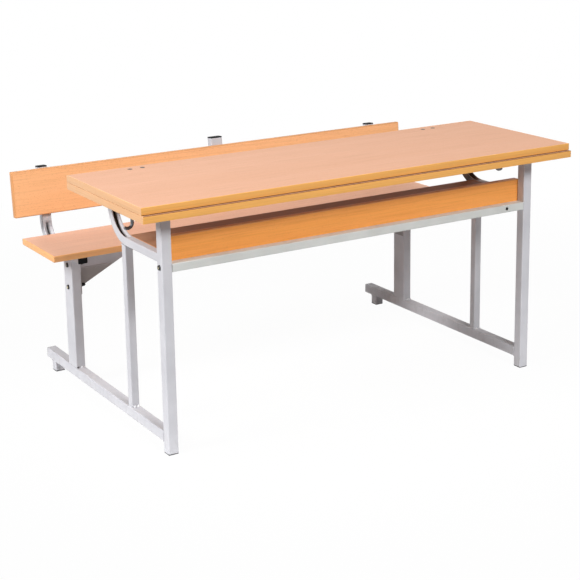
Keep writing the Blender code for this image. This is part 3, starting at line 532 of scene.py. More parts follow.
def plated(name, colour, roughness):
    """Plated steel with a cloudy shine."""
    material, tree, shader, place = finish(name, colour, roughness, metallic=1.0)
    clouded = tint(tree, pattern(tree, place, *ZINC_CLOUD), colour, darker(colour, ZINC_DULLER))
    tree.links.new(clouded, shader.inputs["Base Color"])
    uneven_roughness(tree, shader, place, roughness, *ZINC_WANDER)
    bump(tree, shader, noise(tree, place, ZINC_GRAIN_SCALE, 2), ZINC_GRAIN_DEPTH)
    return material


bright_zinc = plated("bright_zinc", ZINC_COLOUR, ZINC_ROUGHNESS)
dress(FITTING_NODES, bright_zinc)

# Bolts
# Machine bolts with a blackened domed head and washer outside the frame, and a hexagon nut on the
# thread's end inside. The hexagon socket is painted a bright yellowish colour, a painted highlight.
HEAD_RADIUS = 0.0058
HEAD_HEIGHT = 0.0032
SHANK_RADIUS = 0.0030
WASHER_RADIUS = 0.0063
WASHER_THICKNESS = 0.0007
SOCKET_DEPTH = 0.0026
SOCKET_REACH = {"rail_bolt": 0.0027, "bench_bolt_1": 0.0027, "bench_bolt_2": 0.0035}
SOCKET_RIM = 0.0002
SOCKET_TIP = 0.0004
SOCKET_TIP_SHARE = 0.3
SOCKET_MARGIN = 1.01
HEAD_DOME = ((0, 1), (0.25, 1), (0.62, 0.97), (0.88, 0.89))
NUT_REACH = 0.0058
NUT_THICKNESS = 0.005
NUT_FACE_SHARE = 0.80
NUT_CHAMFER = 0.0006
THREAD_START = 0.0004
THREAD_TAIL = 0.003
THREAD_PITCH = 0.001
THREAD_ROOT_SHARE = 0.88
SHANK_END_SHARE = 0.7
TURN_POINTS = 36
HEAD_BLACK = (0.010, 0.010, 0.010)
HEAD_RUBBED = (0.030, 0.028, 0.024)
# The socket's bright colours are a painted highlight.
SOCKET_HIGHLIGHT_COLOUR = (0.80, 0.76, 0.60)
SOCKET_HIGHLIGHT_SHADE = (0.55, 0.50, 0.36)
BOLT_NODES = [f"{part}_{side}" for side in SIDES for part in ("bench_bolt_1", "bench_bolt_2", "rail_bolt")]
blackened_head = mottled_metal("blackened_bolt_head", HEAD_BLACK, HEAD_RUBBED, roughness=0.5)
socket_highlight = mottled_metal("bolt_socket_painted_highlight", SOCKET_HIGHLIGHT_COLOUR, SOCKET_HIGHLIGHT_SHADE, roughness=0.4)


def hexagon(radius):
    """Radii round a turn for a hexagon whose corners lie at radius."""
    radii = []
    for point in range(TURN_POINTS):
        turn = 2 * math.pi * point / TURN_POINTS % (math.pi / 3) - math.pi / 6
        radii.append(radius * math.cos(math.pi / 6) / math.cos(turn))
    return radii


def turned_rings(start, axis, profile):
    """Rings on an axis. Each profile step is a distance and a radius, or a radius for every point."""
    across = axis.orthogonal().normalized()
    up = axis.cross(across)
    rings = []
    for along, reach in profile:
        radii = reach if isinstance(reach, list) else [reach] * TURN_POINTS
        rings.append([
            start + axis * along
            + radii[point] * (
                math.cos(2 * math.pi * point / TURN_POINTS) * across
                + math.sin(2 * math.pi * point / TURN_POINTS) * up
            )
            for point in range(TURN_POINTS)
        ])
    return rings


def socket_bolt(node_name):
    """A bolt on the place of its node, with its black head outwards and its zinc nut on the inside."""
    part, side_name = node_name.rsplit("_", 1)
    side = SIDES[side_name]
    low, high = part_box(node_name)
    middle = (low + high) / 2
    outer = high.x if side > 0 else low.x
    length = high.x - low.x
    axis = X * side
    start = Vector((outer - side * length, middle.y, middle.z))
    thread = []
    along = THREAD_START
    while along < THREAD_TAIL:
        thread += [(along, SHANK_RADIUS), (along + THREAD_PITCH / 2, THREAD_ROOT_SHARE * SHANK_RADIUS)]
        along += THREAD_PITCH
    nut_end = THREAD_TAIL + NUT_THICKNESS
    nut_corners = hexagon(NUT_REACH)
    nut = [
        (THREAD_TAIL, SHANK_RADIUS), (THREAD_TAIL, NUT_FACE_SHARE * NUT_REACH),
        (THREAD_TAIL + NUT_CHAMFER, nut_corners), (nut_end - NUT_CHAMFER, nut_corners),
        (nut_end, NUT_FACE_SHARE * NUT_REACH), (nut_end, SHANK_RADIUS),
    ]
    seat = length - HEAD_HEIGHT
    foot = seat - WASHER_THICKNESS
    washer = [(foot, SHANK_RADIUS), (foot, WASHER_RADIUS), (seat, WASHER_RADIUS)]
    dome = [(seat + lift * HEAD_HEIGHT, share * HEAD_RADIUS) for lift, share in HEAD_DOME]
    top = seat + HEAD_HEIGHT
    reach = SOCKET_REACH[part]
    corners = hexagon(reach)
    socket = [
        (top, [radius + SOCKET_RIM for radius in corners]), (top - SOCKET_RIM, corners),
        (top - SOCKET_DEPTH, corners), (top - SOCKET_DEPTH - SOCKET_TIP, SOCKET_TIP_SHARE * reach),
    ]
    profile = [(0, SHANK_END_SHARE * SHANK_RADIUS)] + thread + nut + washer + dome + socket
    shape = bmesh.new()
    skin(shape, turned_rings(start, axis, profile))
    piece = add_piece("detailed_" + node_name, shape, bright_zinc, "desk")
    piece.data.materials.append(blackened_head)
    piece.data.materials.append(socket_highlight)
    for face in piece.data.polygons:
        off = math.hypot(face.center.y - middle.y, face.center.z - middle.z)
        out = (face.center.x - start.x) * side
        black = out > foot - WASHER_THICKNESS / 2
        # Faces in the socket get the painted highlight.
        in_socket_highlight = out > seat and off < SOCKET_MARGIN * reach
        face.material_index = 2 if in_socket_highlight else 1 if black else 0
    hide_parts(node_name)


for node_name in BOLT_NODES:
    socket_bolt(node_name)

# Boards
# Chipboard with a beech-pattern melamine face on both sides: fine straight grain along the length and
# short dark flecks, under a hard satin film. The front board is the warmest in colour, then the
# backrest. The seat is the palest. The shelf is the darkest, its colour darkened as painted shade.
LEAF_COLOUR = (0.772, 0.445, 0.303)
LEAF_SHADE = (0.742, 0.416, 0.274)
SEAT_COLOUR = (0.90, 0.555, 0.405)
SEAT_SHADE = (0.86, 0.515, 0.367)
BACK_COLOUR = (0.98, 0.52, 0.263)
BACK_SHADE = (0.92, 0.466, 0.213)
FRONT_COLOUR = (0.95, 0.415, 0.117)
FRONT_SHADE = (0.88, 0.35, 0.08)
# The shelf's darker colours are painted shade.
SHELF_PAINTED_SHADE_COLOUR = (0.46, 0.25, 0.145)
SHELF_PAINTED_SHADE_DARKER = (0.40, 0.205, 0.11)
BEECH_BANDS = (1, 3, 0.5, 0.33, 0.7)
BEECH_BAND_STRETCH = (0.9, 14, 14)
GRAIN = (1, 4, 0.6, 0.45, 0.75)
GRAIN_STRETCH = (7, 330, 330)
GRAIN_DARKER = 0.80
GRAIN_STRENGTH = 0.6
GRAIN_DEPTH = 0.00003
FLECKS = (1, 0, 0.5, 0.70, 0.76)
FLECK_STRETCH = (190, 1500, 1500)
FLECK_COLOUR = (0.50, 0.20, 0.07)
FLECK_STRENGTH = 0.5
FILM_WANDER = (22, 4, 0.01, 0.02)
FILM_SCALE = 1300
FILM_DEPTH = 0.00003
BOARDS = {
    "upper_leaf": "folding_leaf", "lower_leaf": "desk", "front_board": "desk", "book_shelf": "desk",
    "seat": "desk", "backrest": "desk",
}


def beech_melamine(name, colour, shade, roughness, gloss):
    """Printed beech: slow bands, fine grain and flecks along X, and a satin film with a faint texture."""
    material, tree, shader, place = finish(name, colour, roughness)
    shader.inputs["Specular IOR Level"].default_value = gloss
    bands = pattern(tree, stretched(tree, place, BEECH_BAND_STRETCH), *BEECH_BANDS)
    printed = tint(tree, bands, colour, shade)
    grain = pattern(tree, stretched(tree, place, GRAIN_STRETCH), *GRAIN)
    printed = tint(tree, times(tree, grain, GRAIN_STRENGTH), printed, darker(shade, GRAIN_DARKER))
    flecks = pattern(tree, stretched(tree, place, FLECK_STRETCH), *FLECKS)
    printed = tint(tree, times(tree, flecks, FLECK_STRENGTH), printed, FLECK_COLOUR)
    tree.links.new(printed, shader.inputs["Base Color"])
    uneven_roughness(tree, shader, place, roughness, *FILM_WANDER)
    pores = bump(tree, shader, grain, GRAIN_DEPTH)
    bump(tree, shader, noise(tree, place, FILM_SCALE, 2), FILM_DEPTH, under=pores)
    return material


leaf_melamine = beech_melamine("beech_melamine", LEAF_COLOUR, LEAF_SHADE, roughness=0.50, gloss=0.05)
seat_melamine = beech_melamine("seat_melamine", SEAT_COLOUR, SEAT_SHADE, roughness=0.50, gloss=0.06)
back_melamine = beech_melamine("backrest_melamine", BACK_COLOUR, BACK_SHADE, roughness=0.50, gloss=0.06)
front_melamine = beech_melamine(
    "front_board_melamine", FRONT_COLOUR, FRONT_SHADE, roughness=0.48, gloss=0.10,
)
# The shelf's melamine is darkened as painted shade.
shelf_melamine_painted_shade = beech_melamine("shelf_melamine_painted_shade", SHELF_PAINTED_SHADE_COLOUR, SHELF_PAINTED_SHADE_DARKER, roughness=0.55, gloss=0.10)
dress(["upper_leaf", "lower_leaf"], leaf_melamine)
dress(["seat"], seat_melamine)
dress(["backrest"], back_melamine)
dress(["front_board"], front_melamine)
dress(["book_shelf"], shelf_melamine_painted_shade)

# Edge bands
# A plastic strip is glued round every board and trimmed to a small round: ochre along the leaves, pale
# at their ends, and beech on the other boards. At the hinges it is cut away. The seat's strip is painted
# a lighter beech, as painted light on its front edge. A dark line of painted shade along the ochre
# strips, where the leaves meet, makes the gap between them look deeper.
OCHRE_COLOUR = (0.885, 0.445, 0.12)
PALE_COLOUR = (0.80, 0.46, 0.24)
# A dark line of painted shade along the gap between the leaves.
GAP_SHADE_COLOUR = (0.15, 0.05, 0.004)
GAP_SHADE_REACH = 0.0011
GAP_SHADE_EDGE = 0.0001
BEECH_COLOUR = (0.70, 0.325, 0.13)
# The seat's strip is painted lighter, as painted light on its front edge.
SEAT_BAND_PAINTED_LIGHT_COLOUR = (0.95, 0.48, 0.20)
BAND_DARKER = 0.88
BAND_GLOSS = 0.25
BAND_ROUGHNESS = 0.42
BAND_WANDER = (75, 3, 0.06, 0.08)
BAND_CLOUD = (6, 2, 0.5, 0.4, 0.7)
BAND_CLOUD_STRENGTH = 0.4
STREAKS = (1, 3, 0.5, 0.38, 0.7)
STREAK_DEPTH = 0.00004
STREAKS_ALONG_X = (5, 120, 420)
STREAKS_ALONG_Y = (120, 5, 420)
END_FACING = 0.72
BAND_PROUD = 0.00016
BAND_ONTO_FACE = 0.0021
BAND_SINK = 0.0005
LEAF_LAPS = {"upper_leaf": (0, 0.0005), "lower_leaf": (0.0005, 0)}
BAND_ROUND_STEPS = 4
BAND_CORNER_STEPS = 5
LEAF_ROUND = 0.0007
BENCH_ROUND = 0.0022
RECLINE = math.radians(5)
SEAT_CLEARANCE = 0.0006


def edge_band_plastic(name, colour, run, gap_shade_height=None):
    """Plastic strip with streaks that run along X or Y, and a line of painted shade at the gap's height."""
    material, tree, shader, place = finish(name, colour, BAND_ROUGHNESS)
    shader.inputs["Specular IOR Level"].default_value = BAND_GLOSS
    shade = darker(colour, BAND_DARKER)
    streaks = pattern(tree, stretched(tree, place, run), *STREAKS)
    banded = tint(tree, streaks, colour, shade)
    cloud = times(tree, pattern(tree, place, *BAND_CLOUD), BAND_CLOUD_STRENGTH)
    banded = tint(tree, cloud, banded, shade)
    # A dark line of painted shade at the gap's height.
    if gap_shade_height:
        above = maths(tree, "SUBTRACT", axis_part(tree, place, "Z"), gap_shade_height)
        away = maths(tree, "ABSOLUTE", above)
        gap_shade = between(tree, away, GAP_SHADE_REACH + GAP_SHADE_EDGE, GAP_SHADE_REACH - GAP_SHADE_EDGE)
        banded = tint(tree, gap_shade, banded, GAP_SHADE_COLOUR)
    tree.links.new(banded, shader.inputs["Base Color"])
    uneven_roughness(tree, shader, place, BAND_ROUGHNESS, *BAND_WANDER)
    bump(tree, shader, streaks, STREAK_DEPTH)
    return material


def band_section(thickness, edge_round, laps):
    """The strip's section as (outward, up the thickness): a C that laps onto both faces."""
    half = thickness / 2
    reach = edge_round + BAND_PROUD
    halves = []
    for lap in laps:
        outer = [(-BAND_ONTO_FACE, half + BAND_PROUD + lap)]
        for step in range(BAND_ROUND_STEPS + 1):
            angle = math.pi / 2 * (1 - step / BAND_ROUND_STEPS)
            up = half + lap - edge_round + reach * math.sin(angle)
            outer.append((-edge_round + reach * math.cos(angle), up))
        halves.append([(-BAND_ONTO_FACE, half - BAND_SINK)] + outer)
    top = halves[0]
    bottom = [(out, -up) for out, up in reversed(halves[1])]
    back = -edge_round - BAND_SINK
    return top + bottom + [(back, -half + edge_round + BAND_SINK), (back, half - edge_round - BAND_SINK)]


def band_point(corner, signs, angle, edge_round, out):
    """A point of the strip at a board's corner, round outside and mitred inside."""
    reach = edge_round + out
    centre = Vector((corner[0] - signs[0] * edge_round, corner[1] - signs[1] * edge_round))
    if reach > 0:
        turn = Vector((math.cos(angle), math.sin(angle)))
        return centre + reach * turn
    return centre + reach * Vector(signs)


def edge_band(board_name, body, edge_round, lean, flat_axis):
    """The strip round one board. The board lies square to flat_axis, before it leans."""
    turn = Matrix.Rotation(lean, 3, "X")
    upright = turn.inverted()
    corners = [upright @ vertex.co for vertex in nodes[board_name].data.vertices]
    low = Vector([min(corner[i] for corner in corners) for i in range(3)])
    high = Vector([max(corner[i] for corner in corners) for i in range(3)])
    thick = (X, Y, Z).index(flat_axis)
    wide, deep = [i for i in range(3) if i != thick]
    section = band_section(high[thick] - low[thick], edge_round, LEAF_LAPS.get(board_name, (0, 0)))
    middle = (low[thick] + high[thick]) / 2
    rings = []
    for quarter, signs in enumerate(((1, 1), (-1, 1), (-1, -1), (1, -1))):
        corner = tuple((high if sign > 0 else low)[i] for sign, i in zip(signs, (wide, deep)))
        for step in range(BAND_CORNER_STEPS + 1):
            angle = math.pi / 2 * (quarter + step / BAND_CORNER_STEPS)
            ring = []
            for out, up in section:
                flat = band_point(corner, signs, angle, edge_round, out)
                point = Vector((0, 0, 0))
                point[wide], point[deep], point[thick] = flat.x, flat.y, middle + up
                ring.append(turn @ point)
            rings.append(ring)
    shape = bmesh.new()
    skin(shape, rings, closed=True)
    bmesh.ops.remove_doubles(shape, verts=shape.verts, dist=1e-7)
    leaf = board_name in ("upper_leaf", "lower_leaf")
    shape.normal_update()
    for face in shape.faces:
        away = abs(face.calc_center_median().x) - (high.x - BAND_ONTO_FACE)
        face.material_index = int(leaf and away > 0 and abs(face.normal.y) < END_FACING)
    band = ochre_band_and_gap_shade if leaf else seat_band_painted_light if board_name == "seat" else beech_band
    piece = add_piece("edge_band_" + board_name, shape, band, body)
    piece.data.materials.append(pale_band)
    return piece


def cut_away(piece, low, high):
    """Takes a box out of a piece for good."""
    shape = bmesh.new()
    bmesh.ops.create_cube(shape, size=1)
    bmesh.ops.scale(shape, vec=high - low, verts=shape.verts)
    bmesh.ops.translate(shape, vec=(low + high) / 2, verts=shape.verts)
    mesh = bpy.data.meshes.new("hinge_seat_cutter")
    shape.to_mesh(mesh)
    shape.free()
    cutter = bpy.data.objects.new("hinge_seat_cutter", mesh)
    bpy.context.scene.collection.objects.link(cutter)
    modifier = piece.modifiers.new("hinge_seat", "BOOLEAN")
    modifier.operation = "DIFFERENCE"
    modifier.solver = "EXACT"
    modifier.object = cutter
    bpy.context.view_layer.update()
    evaluated = piece.evaluated_get(bpy.context.evaluated_depsgraph_get())
    cut = bpy.data.meshes.new_from_object(evaluated)
    piece.modifiers.clear()
    piece.data = cut
    bpy.data.objects.remove(cutter)


leaf_joint = (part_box("lower_leaf")[1].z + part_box("upper_leaf")[0].z) / 2
# The ochre strips carry the painted shade of the gap.
ochre_band_and_gap_shade = edge_band_plastic("ochre_edge_band_and_gap_shade", OCHRE_COLOUR, STREAKS_ALONG_X, leaf_joint)
pale_band = edge_band_plastic("pale_edge_band", PALE_COLOUR, STREAKS_ALONG_Y)
beech_band = edge_band_plastic("beech_edge_band", BEECH_COLOUR, STREAKS_ALONG_X)
# The seat's strip is a lighter beech, as painted light.
seat_band_painted_light = edge_band_plastic("seat_edge_band_painted_light", SEAT_BAND_PAINTED_LIGHT_COLOUR, STREAKS_ALONG_X)
bands = {}
for board_name, body in BOARDS.items():
    bench = board_name in ("seat", "backrest")
    upright_board = board_name in ("front_board", "backrest")
    bands[board_name] = edge_band(
        board_name, body, BENCH_ROUND if bench else LEAF_ROUND,
        -RECLINE if board_name == "backrest" else 0, Y if upright_board else Z,
    )
for side_name in SIDES:
    low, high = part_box("hinge_moving_" + side_name)
    pad = Vector((SEAT_CLEARANCE, SEAT_CLEARANCE, SEAT_CLEARANCE))
    for board_name in ("upper_leaf", "lower_leaf"):
        cut_away(bands[board_name], low - pad, high + pad)

# Rivets and bag hooks
# Steel rivets hold the folding leaf to its hinges. They have gone dark, and their low heads are hollow
# in the middle. The bag hooks are bent from round rod, with a dark, cloudy plating.
RIVET_COLOUR = (0.035, 0.033, 0.030)
RIVET_SHADE = (0.10, 0.09, 0.07)
RIVET_NODES = [f"hinge_rivet_{number}_{side}" for side in SIDES for number in (1, 2)]
RIVET_SHANK = 0.002
RIVET_TIP = 0.0003
RIVET_TIP_SHARE = 0.7
RIVET_HEAD_RADIUS = 0.0045
RIVET_HEAD_HEIGHT = 0.0011
RIVET_CAP_LIFT = 0.0001
RIVET_CAP_RADIUS = 0.0060
RIVET_CAP_RISE = 0.0007
RIVET_CAP = ((0.45, 0.98), (0.85, 0.85), (1, 0.62), (0.9, 0.44), (0.4, 0.32), (0.3, 0.10))
HOOK_COLOUR = (0.15, 0.15, 0.16)
dark_rivet = mottled_metal("dark_rivet_steel", RIVET_COLOUR, RIVET_SHADE, roughness=0.45)
for node_name in RIVET_NODES:
    low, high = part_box(node_name)
    foot = Vector(((low.x + high.x) / 2, (low.y + high.y) / 2, low.z))
    top = high.z - low.z
    neck = top - RIVET_HEAD_HEIGHT
    profile = [
        (0, RIVET_TIP_SHARE * RIVET_SHANK), (RIVET_TIP, RIVET_SHANK), (neck, RIVET_SHANK),
        (neck, RIVET_HEAD_RADIUS), (top + RIVET_CAP_LIFT, RIVET_HEAD_RADIUS),
        (top + RIVET_CAP_LIFT, RIVET_CAP_RADIUS),
    ]
    profile += [(top + rise * RIVET_CAP_RISE, share * RIVET_CAP_RADIUS) for rise, share in RIVET_CAP]
    shape = bmesh.new()
    skin(shape, turned_rings(foot, Z, profile))
    piece = add_piece("detailed_" + node_name, shape, dark_rivet, "folding_leaf")
    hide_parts(node_name)
dress(["bag_hook_left", "bag_hook_right"], plated("blackened_hook_steel", HOOK_COLOUR, roughness=0.32))

# Front rail
# A flat steel tube bolted between the front legs, under the front board. Its powder coat is a little
# lighter and less blue than the legs' is.
RAIL_COLOUR = (0.635, 0.65, 0.63)
RAIL_SHADE = (0.575, 0.59, 0.57)
dress(["front_rail"], powder_coat("rail_powder_coat", RAIL_COLOUR, RAIL_SHADE))

# Bench frame
# Three bent tube posts with a beam welded between them, and a creased sheet bracket bolted to each bench
# leg, with black plastic caps on the bolts' ends. The posts and the beam have the frame's paint, with
# painted shade in the posts' folds. The brackets' paint is darker, and below the crease a still darker
# colour is painted shade.
BRACKET_COLOUR = (0.50, 0.49, 0.52)
BRACKET_SHADE = (0.43, 0.42, 0.45)
# Painted shade below the brackets' crease.
BRACKET_PAINTED_SHADE_COLOUR = (0.34, 0.32, 0.32)
POST_FOLD = (0.3146, 0.4097, 0.048)
CREASE_DROP = 0.036
CREASE_PROUD = 0.0012
CREASE_HALF = 0.0022
CREASE_SHORT = 0.008
CREASE_TIP = 0.15
CREASE_TAPER = 7
CREASE_STEPS = 24
CREASE_POINTS = 10
WEB_INSET = 0.01
PLATE_THICKNESS = 0.002
CAP_LAP = 0.0045
CAP_LENGTH = 0.0150
CAP_RADIUS = 0.0052
CAP_PROFILE = (
    (0, 0.90), (0.03, 1), (0.36, 1), (0.40, 0.90), (0.62, 0.86), (0.82, 0.76), (0.94, 0.52), (1, 0.16),
)
dress(["bench_beam_left", "bench_beam_right"], frame_paint)
# The posts get painted shade in their folds.
dress(
    ["post_left", "post_middle", "post_right"],
    powder_coat("post_powder_coat_and_fold_shade", PAINT_COLOUR, PAINT_SHADE, POST_FOLD),
)
# Below the crease the brackets get painted shade.
bracket_paint_and_shade = powder_coat(
    "bracket_powder_coat_and_shade", BRACKET_COLOUR, BRACKET_SHADE,
    painted_shade_below=(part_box("wing_bracket_left")[1].z - CREASE_DROP, BRACKET_PAINTED_SHADE_COLOUR),
)
dress(["wing_bracket_left", "wing_bracket_right"], bracket_paint_and_shade)
for side_name, side in SIDES.items():
    low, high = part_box("wing_bracket_" + side_name)
    outer = high.x if side > 0 else low.x
    corners = [vertex.co for vertex in nodes["wing_bracket_" + side_name].data.vertices]
    web_front = min(corner.y for corner in corners if abs(corner.x - outer) > WEB_INSET)
    length = (1 - CREASE_DROP / (high.z - low.z)) * (high.x - low.x) - CREASE_SHORT
    rings = []
    for step in range(CREASE_STEPS + 1):
        share = step / CREASE_STEPS
        swell = min(1, CREASE_TIP + CREASE_TAPER * share, CREASE_TIP + CREASE_TAPER * (1 - share))
        across = outer - side * (PLATE_THICKNESS + share * length)
        rings.append([
            Vector((
                across, web_front - CREASE_PROUD * swell * math.cos(turn),
                high.z - CREASE_DROP + CREASE_HALF * swell * math.sin(turn),
            ))
            for turn in (2 * math.pi * point / CREASE_POINTS for point in range(CREASE_POINTS))
        ])
    shape = bmesh.new()
    skin(shape, rings)
    add_piece("wing_crease_" + side_name, shape, bracket_paint_and_shade, "desk")
    for number in (1, 2):
        bolt_low, bolt_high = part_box(f"bench_bolt_{number}_{side_name}")
        middle = (bolt_low + bolt_high) / 2
        inner_end = bolt_low.x if side > 0 else bolt_high.x
        start = Vector((inner_end + side * CAP_LAP, middle.y, middle.z))
        shape = bmesh.new()
        skin(shape, turned_rings(start, -X * side, [
            (reach * CAP_LENGTH, share * CAP_RADIUS) for reach, share in CAP_PROFILE
        ]))
        add_piece(f"nut_cap_{number}_{side_name}", shape, plug_plastic, "desk")
for side_name, side in SIDES.items():
    end_bead("bench_beam_" + side_name, X, side < 0, "beam_to_middle_post_" + side_name)
    end_bead("bench_beam_" + side_name, X, side > 0, "beam_to_side_post_" + side_name)

# Screws
# Zinc-plated pan-head screws with a cross recess hold the boards: up through the plates and tabs into
# the lower leaf and the shelf, and through the posts into the seat and the backrest.
SCREW_RADIUS = 0.0039
SCREW_HEIGHT = 0.0021
SCREW_POINTS = 24
PAN_HEAD = ((1, -0.15), (1, 0.35), (0.93, 0.72), (0.76, 0.94), (0.62, 1))
RECESS_REACH = 0.0021
RECESS_HALF_WIDTH = 0.00042
RECESS_DEPTH = 0.0013
RECESS_DEEPEST = 0.8
RECESS_FOOT = 0.75
POINTS_BEFORE_ARM = 1.5
PLATE_REACH = 0.024
TAB_LIFT = 0.0008
TAB_INSETS = (0.028, 0.128)
SEAT_SCREW_INSETS = (0.040, 0.166)
BACK_SCREW_OFFSETS = (-0.034, 0.034)
BACKREST_THICKNESS = 0.016
POST_DEPTH = 0.022
STAND_OFF = 0.0012


def cross_outline():
    """The cross recess as points round it, as many as the head has, from its first arm on."""
    outline = []
    for quarter in range(4):
        turn = Matrix.Rotation(math.pi / 2 * quarter, 2)
        arm = [
            (RECESS_HALF_WIDTH, -RECESS_HALF_WIDTH), (RECESS_REACH / 2, -RECESS_HALF_WIDTH),
            (RECESS_REACH, -RECESS_HALF_WIDTH), (RECESS_REACH, 0), (RECESS_REACH, RECESS_HALF_WIDTH),
            (RECESS_REACH / 2, RECESS_HALF_WIDTH),
        ]
        outline += [turn @ Vector(point) for point in arm]
    return outline


def screw(name, seat, outward, body, radius=SCREW_RADIUS, height=SCREW_HEIGHT):
    """A pan head that stands on seat, with its cross recess open towards outward."""
    outward = outward.normalized()
    across = outward.orthogonal().normalized()
    up = outward.cross(across)
    size = radius / SCREW_RADIUS

    def ring(points, lift):
        return [seat + outward * lift + across * point.x + up * point.y for point in points]

    circle = [
        Vector((math.cos(turn), math.sin(turn)))
        for turn in (
            2 * math.pi * (point - POINTS_BEFORE_ARM) / SCREW_POINTS for point in range(SCREW_POINTS)
        )
    ]
    cross = [size * point for point in cross_outline()]
    foot = [RECESS_FOOT * point for point in cross]
    rings = [ring([radius * reach * point for point in circle], height * lift) for reach, lift in PAN_HEAD]
    rings.append(ring(cross, height))
    rings.append(ring(foot, height - min(RECESS_DEPTH, RECESS_DEEPEST * height)))
    shape = bmesh.new()
    skin(shape, rings)
    return add_piece(name, shape, bright_zinc, body)


plate_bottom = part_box("lower_leaf")[0].z - PLATE_THICKNESS
shelf_low, shelf_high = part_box("book_shelf")
for side_name, side in SIDES.items():
    for part in ("front_leg", "book_tube"):
        low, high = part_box(f"{part}_{side_name}")
        inner_end = low.x if side > 0 else high.x
        depth = (low.y + high.y) / 2 if part == "front_leg" else high.y - BOOK_TUBE_SIZE / 2
        place = Vector((inner_end + side * PLATE_REACH / 2, depth, plate_bottom))
        screw(f"screw_{part}_plate_{side_name}", place, -Z, "desk")
    tab_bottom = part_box("book_tube_" + side_name)[0].z + TAB_LIFT
    tab_middle = (shelf_high.x if side > 0 else shelf_low.x) - side * PLATE_REACH / 2
    for number, inset in enumerate(TAB_INSETS, 1):
        place = Vector((tab_middle, shelf_low.y + inset, tab_bottom))
        screw(f"screw_shelf_tab_{number}_{side_name}", place, -Z, "desk")

seat_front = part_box("seat")[0].y
back_low, back_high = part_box("backrest")
back_middle = (back_low + back_high) / 2
lean = Matrix.Rotation(-RECLINE, 3, "X")
for post in ("left", "middle", "right"):
    low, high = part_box("post_" + post)
    post_middle = (low.x + high.x) / 2
    for number, inset in enumerate(SEAT_SCREW_INSETS, 1):
        place = Vector((post_middle, seat_front + inset, low.z))
        screw(f"screw_seat_{number}_{post}", place, -Z, "desk")
    for number, offset in enumerate(BACK_SCREW_OFFSETS, 1):
        local = Vector((0, BACKREST_THICKNESS / 2 + STAND_OFF + POST_DEPTH, offset))
        place = Vector((post_middle, back_middle.y, back_middle.z)) + lean @ local
        screw(f"screw_backrest_{number}_{post}", place, lean @ Y, "desk")

# Hinge screws
# The hinge's fixed leaf is screwed down into the desk's lower leaf with small zinc-plated screws. Their
# flat heads lie almost flush, so that the boards close over them.
HINGE_SCREW_SPACING = 0.033
HINGE_SCREW_REACH = 0.028
HINGE_SCREW_LIFT = 0.0006
HINGE_SCREW_RADIUS = 0.0030
HINGE_SCREW_HEIGHT = 0.0002
board_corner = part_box("lower_leaf")[1]
depth = board_corner.y - HINGE_SCREW_REACH
height = board_corner.z + HINGE_SCREW_LIFT
for side_name in SIDES:
    low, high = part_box("hinge_fixed_" + side_name)
    middle = (low.x + high.x) / 2
    for number, offset in enumerate((-HINGE_SCREW_SPACING / 2, HINGE_SCREW_SPACING / 2), 1):
        place = Vector((middle + offset, depth, height))
        name = f"screw_hinge_{number}_{side_name}"
        screw(name, place, Z, "desk", HINGE_SCREW_RADIUS, HINGE_SCREW_HEIGHT)

# Studio
# A pale floor in soft light, with nothing else in sight. The floor and the surroundings are white to
# the camera and in reflections, and the floor keeps a trace of the desk's shadow.
FLOOR_HALF = 12.0
FLOOR_COLOUR = (0.86, 0.86, 0.86)
PALE_CENTRE = (0.08, -0.05, 0)
FAR_FLOOR_COLOUR = (0.15, 0.15, 0.15)
FLOOR_FADE = (0.7, 1.6)
FLOOR_WHITE_SHARE = 0.97
SHADOW_REACH = (0.9, 2.2)
SKY_LEVEL = 0.07
KEY_PLACE = Vector((-5.46, -0.5, 3.72))
KEY_SIZE = (2.3, 2.3)
KEY_POWER = 392
FILL_PLACE = Vector((0.2, -5.64, 4.5))
FILL_SIZE = (3.2, 2.1)
FILL_POWER = 344
TOP_PLACE = Vector((-0.9, 0.7, 5.0))
TOP_SIZE = (2.4, 2.4)
TOP_POWER = 34
AIM = Vector((0, 0, 0.4))
CAMERA_PLACE = Vector((-1.8577, -3.06346, 1.31582))
CAMERA_AZIMUTH = math.radians(-31.3216)
CAMERA_ELEVATION = math.radians(13.45386)
CAMERA_ROLL = math.radians(-0.90699)
FOCAL_PIXELS = 1431.417
AXIS_ROW = 200
IMAGE_PIXELS = 580
SENSOR_WIDTH = 36


def seen_directly(tree):
    """1 for the camera's rays, reflections and rays through glass, and 0 for light on its way."""
    rays = node(tree, "ShaderNodeLightPath").outputs
    seen = maths(tree, "MAXIMUM", rays["Is Camera Ray"], rays["Is Glossy Ray"])
    return maths(tree, "MAXIMUM", seen, rays["Is Transmission Ray"])


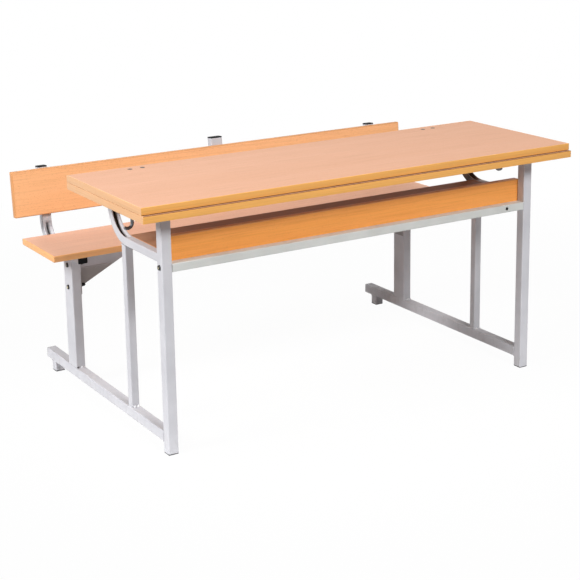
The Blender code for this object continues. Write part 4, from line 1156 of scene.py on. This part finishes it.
def make_floor():
    shape = bmesh.new()
    bmesh.ops.create_grid(shape, size=FLOOR_HALF)
    mesh = bpy.data.meshes.new("floor")
    shape.to_mesh(mesh)
    shape.free()
    material = bpy.data.materials.new("pale_floor")
    material.use_nodes = True
    tree = material.node_tree
    tree.nodes.remove(tree.nodes["Principled BSDF"])
    white = node(tree, "ShaderNodeEmission", {"Strength": 1.0}).outputs[0]
    place = node(tree, "ShaderNodeTexCoord").outputs["Object"]
    away = node(tree, "ShaderNodeVectorMath", {0: place}, operation="LENGTH").outputs["Value"]
    centre = {0: place, 1: PALE_CENTRE}
    aside = node(tree, "ShaderNodeVectorMath", centre, operation="DISTANCE").outputs["Value"]
    paper = tint(tree, between(tree, aside, *FLOOR_FADE), FLOOR_COLOUR, FAR_FLOOR_COLOUR)
    matt = node(tree, "ShaderNodeBsdfDiffuse", {"Color": paper}).outputs[0]
    fade = between(tree, away, *SHADOW_REACH, FLOOR_WHITE_SHARE, 1.0)
    share = times(tree, seen_directly(tree), fade)
    mixed = node(tree, "ShaderNodeMixShader", {0: share, 1: matt, 2: white}).outputs[0]
    tree.links.new(mixed, tree.nodes["Material Output"].inputs["Surface"])
    mesh.materials.append(material)
    floor = bpy.data.objects.new("floor", mesh)
    bpy.context.scene.collection.objects.link(floor)


def soft_lamp(name, place, size, power):
    lamp = bpy.data.lights.new(name, "AREA")
    lamp.shape = "ELLIPSE"
    lamp.size, lamp.size_y = size
    lamp.energy = power
    item = bpy.data.objects.new(name, lamp)
    bpy.context.scene.collection.objects.link(item)
    item.location = place
    item.rotation_euler = (AIM - place).to_track_quat("-Z", "Y").to_euler()


def make_surroundings():
    world = bpy.data.worlds.new("studio")
    bpy.context.scene.world = world
    world.use_nodes = True
    tree = world.node_tree
    strength = between(tree, seen_directly(tree), 0, 1, SKY_LEVEL, 1.0)
    tree.links.new(strength, tree.nodes["Background"].inputs["Strength"])
    tree.nodes["Background"].inputs["Color"].default_value = (1, 1, 1, 1)


def make_camera():
    camera = bpy.data.cameras.new("photo_camera")
    camera.sensor_width = SENSOR_WIDTH
    camera.lens = SENSOR_WIDTH * FOCAL_PIXELS / IMAGE_PIXELS
    camera.shift_y = (AXIS_ROW - IMAGE_PIXELS / 2) / IMAGE_PIXELS
    item = bpy.data.objects.new("photo_camera", camera)
    bpy.context.scene.collection.objects.link(item)
    turn = (
        Matrix.Rotation(CAMERA_AZIMUTH, 4, "Z")
        @ Matrix.Rotation(math.pi / 2 - CAMERA_ELEVATION, 4, "X")
        @ Matrix.Rotation(CAMERA_ROLL, 4, "Z")
    )
    item.matrix_world = Matrix.Translation(CAMERA_PLACE) @ turn
    bpy.context.scene.camera = item


make_floor()
soft_lamp("key_light", KEY_PLACE, KEY_SIZE, KEY_POWER)
soft_lamp("fill_light", FILL_PLACE, FILL_SIZE, FILL_POWER)
soft_lamp("top_light", TOP_PLACE, TOP_SIZE, TOP_POWER)
make_surroundings()
make_camera()
bpy.context.scene.view_settings.view_transform = "Standard"
